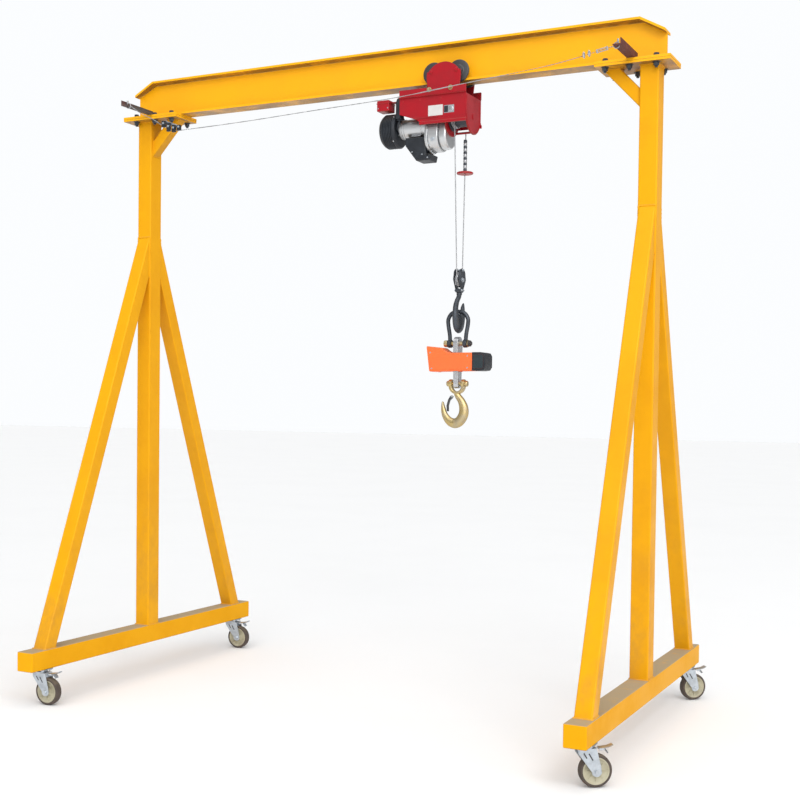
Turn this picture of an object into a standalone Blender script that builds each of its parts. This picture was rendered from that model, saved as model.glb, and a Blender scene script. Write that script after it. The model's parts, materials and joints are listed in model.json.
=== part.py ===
"""Portable gantry crane: two A-frame legs on castors, a bolted I-beam, and an electric
rope hoist on a push trolley with a hook block, a shackle, a crane scale and a load hook.

Metres, +Z up.  X runs along the beam, Y runs along the foot beams.  The origin is on the
floor, under the middle of the crane.
"""
import math

import bmesh
import bpy
from mathutils import Matrix, Vector

# ---------------------------------------------------------------- driving dimensions
GAP = 0.0003              # air between pieces that touch
SPAN = 2.90               # leg centre to leg centre
FOOT_LENGTH = 2.00
FOOT_TUBE = 0.100         # square tube of the foot beams
CASTOR_HEIGHT = 0.184     # floor to the underside of the foot beams
CASTOR_INSET = 0.120      # castor centre from the end of its foot beam
COLUMN_X = 0.090
COLUMN_Y = 0.100
TUBE_WALL = 0.005
BRACE_TUBE = 0.080
BRACE_FOOT = 0.896        # outer edge of a brace on the foot beam, from the leg's middle
BRACE_HEAD = 2.500        # outer edge of a brace on the column, above the floor
KNEE_TUBE = 0.060
KNEE_DROP = 0.192         # lower end of a knee brace below the column plate
KNEE_REACH = 0.182        # its upper end inboard of the column
BEAM_BOTTOM = 3.177
BEAM_HEIGHT = 0.200
BEAM_WIDTH = 0.100
FLANGE = 0.0114
WEB = 0.007
BEAM_END = 1.520          # half length of the beam
BEAM_SHOULDER = 1.400     # where the top flange turns down
BEAM_DROP = 0.066         # how far it comes down
PLATE_IN = 1.200          # mounting plates: inner and outer ends, half width, thickness
PLATE_OUT = 1.560
PLATE_HALF = 0.100
PLATE = 0.012
ARM_REACH = 0.330         # tips of the wire arms, in front of the beam's middle
WIRE_LINE = -0.300        # the festoon wire's plane
WIRE_RADIUS = 0.0025
WHEEL_RADIUS = 0.070
WHEEL_WIDTH = 0.040
CASTOR_TRAIL = 0.050
CASTOR_TURN = {"right_front": 35, "right_back": 43, "left_front": 3, "left_back": 3}
TROLLEY_X = 0.425         # the trolley's place along the beam
TROLLEY_WHEELBASE = 0.136
TROLLEY_AXLE = 0.047      # axle above the beam's underside
TROLLEY_FLANGE_R = 0.056
DRUM_X = (0.438, 0.543)
DRUM_DROP = 0.173         # drum's axis below the beam's underside
DRUM_BARREL = 0.045
ROPE_RADIUS = 0.003
BLOCK_X = 0.487           # the hook block's place
BLOCK_Z = 2.194           # its sheave's axis
SHEAVE_PITCH = 0.034
TACKLE_X = 0.483          # middle of the shackle, scale and load hook
SHACKLE_PIN_Z = 1.875
LOAD_PIN_Z = 1.673
SCALE_Z = 1.783           # middle height of the scale's body

FOOT_TOP = CASTOR_HEIGHT + FOOT_TUBE
BEAM_TOP = BEAM_BOTTOM + BEAM_HEIGHT
COLUMN_TOP = BEAM_BOTTOM - 2 * PLATE - GAP
LEG_X = SPAN / 2

MATERIALS = {
    "yellow_paint": ((0.90, 0.50, 0.03), 0.42, 0.0),
    "red_paint": ((0.62, 0.02, 0.03), 0.35, 0.0),
    "rust_primer": ((0.13, 0.035, 0.03), 0.60, 0.0),
    "zinc": ((0.62, 0.67, 0.72), 0.32, 0.9),
    "wire_steel": ((0.45, 0.45, 0.44), 0.40, 0.9),
    "tyre": ((0.05, 0.045, 0.04), 0.75, 0.0),
    "black_plastic": ((0.025, 0.028, 0.032), 0.50, 0.0),
    "cast_aluminium": ((0.62, 0.63, 0.64), 0.38, 0.9),
    "dark_steel": ((0.07, 0.08, 0.09), 0.45, 0.8),
    "polished_steel": ((0.70, 0.71, 0.75), 0.25, 0.9),
    "yellow_zinc": ((0.60, 0.52, 0.30), 0.35, 0.9),
    "orange_case": ((0.95, 0.20, 0.04), 0.45, 0.0),
}


# ---------------------------------------------------------------- helpers
def material(name):
    found = bpy.data.materials.get(name)
    if found:
        return found
    colour, roughness, metallic = MATERIALS[name]
    made = bpy.data.materials.new(name)
    made.use_nodes = True
    shader = made.node_tree.nodes["Principled BSDF"]
    shader.inputs["Base Color"].default_value = (*colour, 1)
    shader.inputs["Roughness"].default_value = roughness
    shader.inputs["Metallic"].default_value = metallic
    return made


def empty(name, location, turn=0.0):
    """A frame that pieces hang on, turned about Z by so many degrees."""
    holder = bpy.data.objects.new(name, None)
    bpy.context.collection.objects.link(holder)
    holder.location = location
    holder.rotation_euler = (0, 0, math.radians(turn))
    return holder


def piece(name, bm, paint, origin=(0, 0, 0), holder=None, smooth=True):
    """One named object; its mesh is drawn in its holder's frame, its origin is moved."""
    bmesh.ops.recalc_face_normals(bm, faces=bm.faces)
    bmesh.ops.translate(bm, vec=-Vector(origin), verts=bm.verts)
    mesh = bpy.data.meshes.new(name)
    bm.to_mesh(mesh)
    bm.free()
    mesh.materials.append(material(paint))
    if smooth:
        mesh.shade_smooth()
        mesh.set_sharp_from_angle(angle=math.radians(35))
    made = bpy.data.objects.new(name, mesh)
    bpy.context.collection.objects.link(made)
    made.location = origin
    made.parent = holder
    return made


def combine(target, operand, operation):
    """Cut the operand from the target, or weld it on, with a Boolean."""
    operand.hide_render = True
    operand.display_type = 'WIRE'
    step = target.modifiers.new(operand.name, 'BOOLEAN')
    step.operation = operation
    step.object = operand


def cut(target, *operands):
    for operand in operands:
        combine(target, operand, 'DIFFERENCE')


def weld(target, *operands):
    for operand in operands:
        combine(target, operand, 'UNION')


def box(low, high, rounding=0.0, segments=2):
    bm = bmesh.new()
    bmesh.ops.create_cube(bm, size=1)
    size = Vector(high) - Vector(low)
    bmesh.ops.scale(bm, vec=size, verts=bm.verts)
    bmesh.ops.translate(bm, vec=(Vector(low) + Vector(high)) / 2, verts=bm.verts)
    if rounding:
        bmesh.ops.bevel(bm, geom=bm.edges[:], offset=rounding, segments=segments,
                        profile=0.5, affect='EDGES')
    return bm


def prism(outline, axis, low, high):
    """An outline extruded along an axis; its points are in the other two, in XYZ order."""
    bm = bmesh.new()
    slot = "XYZ".index(axis)
    corners = []
    for a, b in outline:
        point = [a, b]
        point.insert(slot, low)
        corners.append(bm.verts.new(point))
    face = bm.faces.new(corners)
    moved = bmesh.ops.extrude_face_region(bm, geom=[face])
    push = Vector((0, 0, 0))
    push[slot] = high - low
    verts = [v for v in moved["geom"] if isinstance(v, bmesh.types.BMVert)]
    bmesh.ops.translate(bm, vec=push, verts=verts)
    return bm


def arc(centre, radius, start, end, steps):
    """Points on a circle between two angles in degrees."""
    points = []
    for i in range(steps + 1):
        angle = math.radians(start + (end - start) * i / steps)
        points.append((centre[0] + radius * math.cos(angle),
                       centre[1] + radius * math.sin(angle)))
    return points


def turned(profile, axis, centre, steps=28):
    """A profile of (radius, distance along the axis) turned about an axis."""
    bm = bmesh.new()
    along = Vector([1 if letter == axis else 0 for letter in "XYZ"])
    out = Vector((0, 0, 1)) if axis != "Z" else Vector((1, 0, 0))
    verts = [bm.verts.new(Vector(centre) + along * h + out * r) for r, h in profile]
    hollow = min(r for r, h in profile) > 0
    count = len(verts)
    edges = [bm.edges.new((verts[i], verts[(i + 1) % count]))
             for i in range(count if hollow else count - 1)]
    bmesh.ops.spin(bm, geom=verts + edges, cent=centre, axis=along, angle=math.tau,
                   steps=steps, use_merge=True)
    bmesh.ops.remove_doubles(bm, verts=bm.verts, dist=1e-6)
    bmesh.ops.dissolve_degenerate(bm, edges=bm.edges, dist=1e-7)
    return bm


def rod(radius, axis, centre, low, high, steps=20):
    return turned([(0, low), (radius, low), (radius, high), (0, high)], axis, centre, steps)


def hexagon(across, axis, centre, low, high):
    return rod(across / math.sqrt(3), axis, centre, low, high, steps=6)


def smooth_path(points, per_span):
    """Catmull-Rom points through a list of 3-D points, with the last one kept."""
    path = []
    padded = [points[0]] + list(points) + [points[-1]]
    for i in range(len(points) - 1):
        p0, p1, p2, p3 = (Vector(p) for p in padded[i:i + 4])
        for k in range(per_span):
            t = k / per_span
            path.append(0.5 * (2 * p1 + (p2 - p0) * t + (2 * p0 - 5 * p1 + 4 * p2 - p3) * t * t
                               + (3 * p1 - p0 - 3 * p2 + p3) * t ** 3))
    path.append(Vector(points[-1]))
    return path


def forged(stations, plane, per_span=2, sides=12):
    """A bar swept along a flat path.  Stations are (a, z, in-plane radius, width radius);
    plane says whether a is X or Y."""
    places = smooth_path([(a, z, 0) for a, z, r, w in stations], per_span)
    sizes = smooth_path([(r, w, 0) for a, z, r, w in stations], per_span)
    bm = bmesh.new()
    loops = []
    for i, place in enumerate(places):
        before = places[max(i - 1, 0)]
        after = places[min(i + 1, len(places) - 1)]
        run = (after - before).normalized()
        side = Vector((-run.y, run.x, 0))
        along, across = (Vector((v.x, 0, v.y)) if plane == "X" else Vector((0, v.x, v.y))
                         for v in (run, side))
        centre = Vector((place.x, 0, place.y)) if plane == "X" else Vector((0, place.x, place.y))
        width = along.cross(across)
        frame = Matrix((across, width, along)).transposed().to_4x4()
        frame.translation = centre
        shape = frame @ Matrix.Diagonal((sizes[i].x, sizes[i].y, 1, 1))
        ring = bmesh.ops.create_circle(bm, cap_ends=False, radius=1, segments=sides,
                                       matrix=shape)["verts"]
        loops.append(ring)
    for first, second in zip(loops, loops[1:]):
        edges = {e for v in first + second for e in v.link_edges if len(e.link_faces) < 2}
        edges = [e for e in edges if all(v in first for v in e.verts)
                 or all(v in second for v in e.verts)]
        bmesh.ops.bridge_loops(bm, edges=edges)
    bm.faces.new(loops[0])
    bm.faces.new(loops[-1])
    return bm


# ---------------------------------------------------------------- legs
def side_name(sign):
    return "right" if sign > 0 else "left"


def foot_beam(sign):
    """Closed square tube with a drain hole in its underside."""
    name = "foot_beam_" + side_name(sign)
    half = FOOT_TUBE / 2
    x = sign * LEG_X
    beam = piece(name, box((x - half, -FOOT_LENGTH / 2, CASTOR_HEIGHT),
                           (x + half, FOOT_LENGTH / 2, FOOT_TOP), 0.005), "yellow_paint")
    inner = half - TUBE_WALL
    hollow = piece(name + "_hollow", box(
        (x - inner, -FOOT_LENGTH / 2 + TUBE_WALL, CASTOR_HEIGHT + TUBE_WALL),
        (x + inner, FOOT_LENGTH / 2 - TUBE_WALL, FOOT_TOP - TUBE_WALL)), "yellow_paint")
    drain = piece(name + "_drain", rod(0.006, "Z", (x, 0.4, CASTOR_HEIGHT), -0.01, 0.01, 12),
                  "yellow_paint")
    cut(beam, hollow, drain)


def column(sign):
    name = "column_" + side_name(sign)
    x = sign * LEG_X
    low, high = FOOT_TOP + GAP, COLUMN_TOP - GAP
    tube = piece(name, box((x - COLUMN_X / 2, -COLUMN_Y / 2, low),
                           (x + COLUMN_X / 2, COLUMN_Y / 2, high)), "yellow_paint")
    wall = TUBE_WALL
    hollow = piece(name + "_hollow", box(
        (x - COLUMN_X / 2 + wall, -COLUMN_Y / 2 + wall, low - 0.02),
        (x + COLUMN_X / 2 - wall, COLUMN_Y / 2 - wall, high + 0.02)), "yellow_paint")
    cut(tube, hollow)


def leg_brace(sign, end):
    """Square tube from the foot beam to the column, both ends cut to fit."""
    name = "brace_%s_%s" % (side_name(sign), "back" if end > 0 else "front")
    face = COLUMN_Y / 2 + GAP
    low = FOOT_TOP + GAP
    slope = (BRACE_HEAD - low) / (BRACE_FOOT - face)      # rise over run of its edges
    lean = math.atan(1 / slope)
    foot_width = BRACE_TUBE / math.cos(lean)
    wall = TUBE_WALL / math.cos(lean)

    def outline(inset, past):
        outer_foot = BRACE_FOOT - inset
        inner_foot = BRACE_FOOT - foot_width + inset
        return [(end * (outer_foot + past), low - past * slope),
                (end * (face - past), low + (outer_foot - face + past) * slope),
                (end * (face - past), low + (inner_foot - face + past) * slope),
                (end * (inner_foot + past), low - past * slope)]

    x = sign * LEG_X
    half = BRACE_TUBE / 2
    tube = piece(name, prism(outline(0, 0), "X", x - half, x + half), "yellow_paint")
    hollow = piece(name + "_hollow", prism(outline(wall, 0.01), "X", x - half + TUBE_WALL,
                                           x + half - TUBE_WALL), "yellow_paint")
    cut(tube, hollow)


def knee_brace(sign):
    """Short square tube from the column's inner face up to its top plate."""
    name = "knee_brace_" + side_name(sign)
    face = LEG_X - COLUMN_X / 2 - GAP
    top = COLUMN_TOP - GAP
    slope = KNEE_DROP / KNEE_REACH
    rise = KNEE_TUBE / math.cos(math.atan(slope))
    wall = TUBE_WALL * rise / KNEE_TUBE

    def outline(inset, past):
        low = top - KNEE_DROP + inset
        high = top - KNEE_DROP + rise - inset
        return [(sign * (face + past), low - past * slope),
                (sign * (face + past), high - past * slope),
                (sign * (face - (top + past - high) / slope), top + past),
                (sign * (face - (top + past - low) / slope), top + past)]

    half = KNEE_TUBE / 2
    tube = piece(name, prism(outline(0, 0), "Y", -half, half), "yellow_paint")
    hollow = piece(name + "_hollow", prism(outline(wall, 0.01), "Y", -half + TUBE_WALL,
                                           half - TUBE_WALL), "yellow_paint")
    cut(tube, hollow)


def plate_box(sign, low, high):
    ends = sorted((sign * PLATE_IN, sign * PLATE_OUT))
    return box((ends[0], -PLATE_HALF, low), (ends[1], PLATE_HALF, high))


def column_plate(sign):
    piece("column_plate_" + side_name(sign), plate_box(sign, COLUMN_TOP, COLUMN_TOP + PLATE),
          "yellow_paint")


# ---------------------------------------------------------------- beam
def i_beam():
    """Rolled beam with cut-down ends and its two mounting plates welded on below."""
    low_end = BEAM_TOP - BEAM_DROP
    half = WEB / 2
    web = [(-BEAM_END, BEAM_BOTTOM + 0.001), (BEAM_END, BEAM_BOTTOM + 0.001),
           (BEAM_END, low_end - 0.002), (BEAM_SHOULDER, BEAM_TOP - 0.002),
           (-BEAM_SHOULDER, BEAM_TOP - 0.002), (-BEAM_END, low_end - 0.002)]
    beam = piece("i_beam", prism(web, "Y", -half, half), "yellow_paint", smooth=False)
    lean = math.atan(BEAM_DROP / (BEAM_END - BEAM_SHOULDER))
    inner = FLANGE * math.tan(lean / 2)
    down = FLANGE / math.cos(lean)
    top = [(-BEAM_END, low_end), (-BEAM_SHOULDER, BEAM_TOP), (BEAM_SHOULDER, BEAM_TOP),
           (BEAM_END, low_end), (BEAM_END, low_end - down),
           (BEAM_SHOULDER - inner, BEAM_TOP - FLANGE),
           (-BEAM_SHOULDER + inner, BEAM_TOP - FLANGE), (-BEAM_END, low_end - down)]
    wide = BEAM_WIDTH / 2
    cap = piece("i_beam_top", prism(top, "Y", -wide, wide), "yellow_paint")
    sole = piece("i_beam_sole", box((-BEAM_END, -wide, BEAM_BOTTOM),
                                    (BEAM_END, wide, BEAM_BOTTOM + FLANGE)), "yellow_paint")
    plates = [piece("i_beam_plate_" + side_name(sign),
                    plate_box(sign, BEAM_BOTTOM - PLATE, BEAM_BOTTOM + 0.0005), "yellow_paint")
              for sign in (1, -1)]
    weld(beam, cap, sole, *plates)


def wire_arm(sign):
    """Angle iron standing on the mounting plate, out in front of the beam."""
    foot = BEAM_BOTTOM + 0.0005 + GAP
    wide, tall, thick = 0.040, 0.030, 0.004
    near = LEG_X - 0.095
    outline = [(near, foot), (near + wide, foot), (near + wide, foot + tall),
               (near + wide - thick, foot + tall), (near + wide - thick, foot + thick),
               (near, foot + thick)]
    outline = [(sign * x, z) for x, z in outline]
    back = BEAM_WIDTH / 2 + GAP
    piece("wire_arm_" + side_name(sign), prism(outline, "Y", -ARM_REACH, -back), "rust_primer",
          smooth=False)


def festoon_wire():
    """Slack steel wire between the arms, pulled down near its left end by its clamps."""
    hang = BEAM_BOTTOM
    end = LEG_X - 0.095 - WIRE_RADIUS
    route = [(-end, 0.0025), (-1.290, -0.040), (-1.200, -0.085), (-1.125, -0.130),
             (-1.070, -0.156), (-0.950, -0.158), (-0.600, -0.150), (-0.200, -0.134),
             (0.250, -0.117), (0.600, -0.088), (0.880, -0.065), (1.050, -0.049),
             (1.180, -0.030), (end, 0.0025)]
    curve = bpy.data.curves.new("festoon_wire", 'CURVE')
    curve.dimensions = '3D'
    curve.bevel_depth = WIRE_RADIUS
    curve.bevel_resolution = 2
    curve.use_fill_caps = True
    curve.resolution_u = 1
    path = smooth_path([(x, WIRE_LINE, hang + z) for x, z in route], 5)
    spline = curve.splines.new('POLY')
    spline.points.add(len(path) - 1)
    for point, place in zip(spline.points, path):
        point.co = (*place, 1)
    curve.materials.append(material("wire_steel"))
    wire = bpy.data.objects.new("festoon_wire", curve)
    bpy.context.collection.objects.link(wire)


# ---------------------------------------------------------------- castors
def castor(place, x, y):
    """Swivel castor with a total-lock brake.  In its frame Z is the swivel's axis, the
    wheel trails towards +X and turns about Y."""
    swivel = empty("castor_%s_swivel" % place, (x, y, 0), CASTOR_TURN[place])
    axle = (CASTOR_TRAIL, 0, WHEEL_RADIUS)
    top = CASTOR_HEIGHT - GAP
    plate = piece("castor_plate_" + place, box((-0.050, -0.0425, top - 0.005),
                                               (0.050, 0.0425, top)), "zinc",
                  holder=empty("castor_%s_mount" % place, (x, y, 0)))
    race = piece("castor_race_" + place, turned(
        [(0, -0.030), (0.006, -0.030), (0.006, -0.012), (0.029, -0.012), (0.031, -0.004),
         (0, -0.004)], "Z", (0, 0, top), 24), "zinc", holder=swivel)
    weld(plate, race)

    crown = top - 0.0125
    fork = piece("castor_fork_" + place, turned(
        [(0.0075, -0.016), (0.026, -0.016), (0.033, -0.004), (0.033, 0), (0.0075, 0)],
        "Z", (0, 0, crown), 24), "zinc", holder=swivel)
    leg = [(-0.030, crown - 0.003), (-0.024, crown - 0.030), (axle[0] - 0.017, axle[2] - 0.004)]
    leg += arc((axle[0], axle[2]), 0.017, 200, 340, 6)
    leg += [(axle[0] + 0.012, axle[2] + 0.030), (0.050, crown - 0.022), (0.046, crown - 0.003)]
    for end in (-1, 1):
        sides = sorted((end * 0.0245, end * 0.0280))
        cheek = piece("castor_cheek_%s_%d" % (place, end), prism(leg, "Y", *sides), "zinc",
                      holder=swivel)
        weld(fork, cheek)
    bridge = piece("castor_bridge_" + place, box((-0.029, -0.026, crown - 0.0080),
                                                 (0.045, 0.026, crown - 0.0035)), "zinc",
                   holder=swivel)
    pin_hole = piece("castor_pin_hole_" + place, rod(0.0065, "Z", (0, 0, crown), -0.03, 0.01, 16),
                     "zinc", holder=swivel)
    axle_bolt = piece("castor_axle_" + place, turned(
        [(0, -0.035), (0.008, -0.035), (0.008, -0.027), (0.005, -0.027), (0.005, 0.027),
         (0.008, 0.027), (0.008, 0.035), (0, 0.035)], "Y", axle, 16), "zinc", holder=swivel)
    weld(fork, bridge)
    cut(fork, pin_hole)
    weld(fork, axle_bolt)

    half = WHEEL_WIDTH / 2
    wheel = [(0.0055, -half), (0.016, -half), (0.018, -half + 0.006), (0.050, -half + 0.006),
             (0.054, -half + 0.001), (0.064, -half + 0.001), (0.0685, -half + 0.005),
             (WHEEL_RADIUS, -half + 0.010)]
    wheel += [(r, -h) for r, h in reversed(wheel)]
    piece("castor_wheel_" + place, turned(wheel, "Y", axle, 28), "tyre", axle, swivel)

    pivot = (0.062, 0, crown - 0.013)
    tread = [(0.058, pivot[2] - 0.003), (0.085, pivot[2] - 0.004), (0.112, pivot[2] + 0.006),
             (0.114, pivot[2] + 0.003), (0.094, pivot[2] - 0.008), (0.104, pivot[2] - 0.026),
             (0.101, pivot[2] - 0.028), (0.088, pivot[2] - 0.009), (0.058, pivot[2] - 0.008)]
    tread = [(a, b + 0.009) for a, b in tread]
    piece("castor_pedal_" + place, prism(tread, "Y", -0.022, 0.022), "zinc", pivot, swivel,
          smooth=False)


# ---------------------------------------------------------------- trolley
def trolley_plate(end):
    """Side plate with two stub axles, and holes for the tie bolts."""
    name = "trolley_plate_" + ("back" if end > 0 else "front")
    z = BEAM_BOTTOM
    outline = [(-0.083, z - 0.062), (0.083, z - 0.062), (0.0925, z + 0.020),
               (0.0905, z + 0.048)]
    outline += arc((0, z - 0.005), 0.098, 33, 147, 14)
    outline += [(-0.0905, z + 0.048), (-0.0925, z + 0.020)]
    outline = [(TROLLEY_X + x, height) for x, height in outline]
    sides = sorted((end * 0.0847, end * 0.0927))
    plate = piece(name, prism(outline, "Y", *sides), "red_paint", smooth=False)
    for step in (-1, 1):
        centre = (TROLLEY_X + step * TROLLEY_WHEELBASE / 2, 0, z + TROLLEY_AXLE)
        span = sorted((end * 0.020, end * 0.090))
        stub = piece("%s_stub_%d" % (name, step), rod(0.008, "Y", centre, *span), "red_paint")
        weld(plate, stub)
    for x in TIE_BOLTS:
        hole = piece("%s_hole_%d" % (name, round(x * 1000)),
                     rod(0.0065, "Y", (x, 0, z - 0.041), -0.12, 0.12, 16), "red_paint")
        cut(plate, hole)


TIE_BOLTS = (TROLLEY_X - 0.072, TROLLEY_X + 0.043)


def trolley_wheel(end, step):
    """Flanged wheel; its tread runs on the beam's bottom flange."""
    tread = TROLLEY_AXLE - FLANGE - GAP
    profile = [(0.0085, 0.019), (tread - 0.003, 0.019), (tread, 0.022), (tread, 0.0500),
               (tread + 0.001, 0.0515), (TROLLEY_FLANGE_R, 0.0530), (TROLLEY_FLANGE_R, 0.0640),
               (0.050, 0.0670), (0.030, 0.0690), (0.028, 0.0830), (0.0085, 0.0830)]
    profile = [(r, end * h) for r, h in profile]
    centre = (TROLLEY_X + step * TROLLEY_WHEELBASE / 2, 0, BEAM_BOTTOM + TROLLEY_AXLE)
    name = "trolley_wheel_%s_%s" % ("back" if end > 0 else "front", side_name(step))
    piece(name, turned(profile, "Y", centre, 28), "black_plastic", centre)


def tie_bolt(x):
    name = "tie_bolt_" + side_name(x - TROLLEY_X)
    centre = (x, 0, BEAM_BOTTOM - 0.041)
    bolt = piece(name, rod(0.006, "Y", centre, -0.112, 0.112), "polished_steel")
    head = piece(name + "_head", hexagon(0.019, "Y", centre, -0.1115, -0.1035),
                 "polished_steel")
    nut = piece(name + "_nut", hexagon(0.019, "Y", centre, 0.1035, 0.1115), "polished_steel")
    weld(bolt, head, nut)


# ---------------------------------------------------------------- hoist
FRAME_X = (0.187, 0.550)
HANGER_TOP = BEAM_BOTTOM - 0.030
HANGER_FOOT = BEAM_BOTTOM - 0.066
SKIRT_FOOT = BEAM_BOTTOM - 0.196
DRUM_Z = BEAM_BOTTOM - DRUM_DROP


def bearing_plate(name, low, high, top):
    """Plate across the frame with a rounded foot, which holds one end of the drum."""
    centre = (0, DRUM_Z + 0.005)
    outline = [(-0.0930, top), (-0.0930, centre[1])]
    outline += arc(centre, 0.0930, 180, 360, 16)[1:-1]
    outline += [(0.0930, centre[1]), (0.0930, top)]
    return piece(name, prism(outline, "X", low, high), "red_paint")


def hoist_frame():
    """Folded sheet: two skirts, a top web, hanger bars and the drum's bearing plates."""
    low, high = FRAME_X
    web_top = HANGER_FOOT + 0.0005
    frame = piece("hoist_frame", box((low, -0.095, web_top - 0.004),
                                     (high - 0.070, 0.095, web_top)), "red_paint", smooth=False)
    bar_holes = []
    for end in (-1, 1):
        skirt = [(low, HANGER_TOP), (high, HANGER_TOP), (high, SKIRT_FOOT + 0.012),
                 (0.285, SKIRT_FOOT + 0.012), (low, SKIRT_FOOT + 0.047)]
        sides = sorted((end * 0.0930, end * 0.0970))
        wall = piece("hoist_skirt_%d" % end, prism(skirt, "Y", *sides), "red_paint")
        bar = piece("hoist_hanger_%d" % end, box(
            (low, min(end * 0.0965, end * 0.1030), HANGER_FOOT),
            (high, max(end * 0.0965, end * 0.1030), HANGER_TOP)), "red_paint")
        lip_line = [(0.300, SKIRT_FOOT), (high, SKIRT_FOOT), (high, SKIRT_FOOT + 0.0125),
                    (0.284, SKIRT_FOOT + 0.0125)]
        lip = piece("hoist_lip_%d" % end, prism(lip_line, "Y", *sorted(
            (end * 0.0930, end * 0.1010))), "red_paint")
        weld(frame, wall, bar, lip)
    outer = bearing_plate("hoist_outer_plate", high - 0.005, high, BEAM_BOTTOM - 0.072)
    inner = bearing_plate("hoist_inner_plate", 0.430, 0.435, web_top - 0.001)
    boss = piece("hoist_boss", turned([(0, 0), (0.017, 0), (0.013, 0.005), (0, 0.005)], "X",
                                      (high - 0.001, 0, DRUM_Z)), "red_paint")
    anchor = piece("hoist_rope_anchor", rod(0.006, "X", (0, 0.035, BEAM_BOTTOM - 0.241),
                                            0.431, high - 0.001, 12), "red_paint")
    weld(frame, outer, inner, boss, anchor)
    for x in TIE_BOLTS:
        bar_holes.append(piece("hoist_hole_%d" % round(x * 1000), rod(
            0.0065, "Y", (x, 0, BEAM_BOTTOM - 0.041), -0.12, 0.12, 16), "red_paint"))
    shaft_hole = piece("hoist_shaft_hole", rod(0.0125, "X", (0, 0, DRUM_Z), 0.42, high - 0.004),
                       "red_paint")
    cut(frame, shaft_hole, *bar_holes)


def rope_drum():
    low, high = DRUM_X
    mid = (low + high) / 2
    half = (high - low) / 2
    profile = [(0, -half - 0.020), (0.012, -half - 0.020), (0.012, -half), (0.062, -half),
               (0.062, -half + 0.005), (DRUM_BARREL, -half + 0.008),
               (DRUM_BARREL, half - 0.008), (0.062, half - 0.005), (0.062, half),
               (0.012, half), (0.012, half + 0.0015), (0, half + 0.0015)]
    centre = (mid, 0, DRUM_Z)
    piece("rope_drum", turned(profile, "X", centre, 36), "dark_steel", centre)


def hoist_motor():
    """Finned body on the gearbox's left face."""
    z = BEAM_BOTTOM - 0.203
    motor = piece("hoist_motor", rod(0.046, "X", (0, 0, z), 0.1500, 0.3135, 40),
                  "cast_aluminium")
    outline = []
    for i in range(40):
        for reach, lead in ((0.0455, -0.3), (0.052, -0.2), (0.052, 0.2), (0.0455, 0.3)):
            angle = math.tau * (i + lead) / 40
            outline.append((reach * math.cos(angle), z + reach * math.sin(angle)))
    fins = piece("hoist_fins", prism(outline, "X", 0.175, 0.290), "cast_aluminium",
                 smooth=False)
    weld(motor, fins)


def fan_cover():
    z = BEAM_BOTTOM - 0.208
    profile = [(0, 0.050), (0.040, 0.050), (0.070, 0.056), (0.086, 0.072), (0.088, 0.090),
               (0.088, 0.140), (0.080, 0.1497), (0, 0.1497)]
    piece("fan_cover", turned(profile, "X", (0, 0, z), 36), "black_plastic")


def gearbox():
    upper = (0, BEAM_BOTTOM - 0.198)
    lower = (0, BEAM_BOTTOM - 0.258)

    def outline(grow):
        return (arc(upper, 0.068 + grow, 0, 180, 12) + arc(lower, 0.076 + grow, 180, 360, 14))

    body = piece("gearbox", prism(outline(0), "X", 0.3140, 0.4295), "cast_aluminium")
    rim = piece("gearbox_rim", prism(outline(0.006), "X", 0.3220, 0.3340), "cast_aluminium")
    bore = piece("gearbox_bore", rod(0.0125, "X", (0, 0, DRUM_Z), 0.410, 0.440),
                 "cast_aluminium")
    weld(body, rim)
    cut(body, bore)


def control_box():
    """Moulded box under the motor, for the capacitor and the contactor."""
    z = BEAM_BOTTOM
    outline = [(0.196, z - 0.2565), (0.196, z - 0.296), (0.258, z - 0.376),
               (0.332, z - 0.376), (0.338, z - 0.350), (0.338, z - 0.3450),
               (0.3136, z - 0.3450), (0.3136, z - 0.2565)]
    bm = prism(outline, "Y", -0.050, 0.050)
    bmesh.ops.bevel(bm, geom=[e for e in bm.edges if abs(e.verts[0].co.y - e.verts[1].co.y)
                              < 1e-5], offset=0.008, segments=2, profile=0.5, affect='EDGES')
    piece("control_box", bm, "black_plastic")


def limit_switch_box():
    """Small red box beyond the frame's left end, on a flat arm."""
    top = BEAM_BOTTOM - 0.0615
    case = piece("limit_switch_box", box((0.048, -0.080, top - 0.055), (0.118, -0.010, top),
                                         0.004), "red_paint")
    arm = piece("limit_switch_arm", box((0.112, -0.060, top - 0.014),
                                        (FRAME_X[0] - GAP, -0.030, top - 0.009)), "red_paint")
    weld(case, arm)


LIMIT_Z = BLOCK_Z + 0.534


def limit_weight():
    """Disc on a sleeve around the back rope fall; the block lifts it to stop the hoist."""
    x = BLOCK_X + 0.007
    profile = [(0.0062, 0), (0.038, 0), (0.042, 0.003), (0.042, 0.009), (0.038, 0.012),
               (0.0095, 0.012), (0.0095, 0.172), (0.0062, 0.172)]
    centre = (x, SHEAVE_PITCH + 0.001, LIMIT_Z)
    piece("limit_weight", turned(profile, "Z", centre, 20), "red_paint", centre)


def straight_rope(name, top, foot):
    curve = bpy.data.curves.new(name, 'CURVE')
    curve.dimensions = '3D'
    curve.bevel_depth = ROPE_RADIUS
    curve.bevel_resolution = 2
    curve.use_fill_caps = True
    curve.resolution_u = 1
    spline = curve.splines.new('POLY')
    spline.points.add(1)
    spline.points[0].co = (*top, 1)
    spline.points[1].co = (*foot, 1)
    curve.materials.append(material("wire_steel"))
    rope = bpy.data.objects.new(name, curve)
    bpy.context.collection.objects.link(rope)


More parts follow.
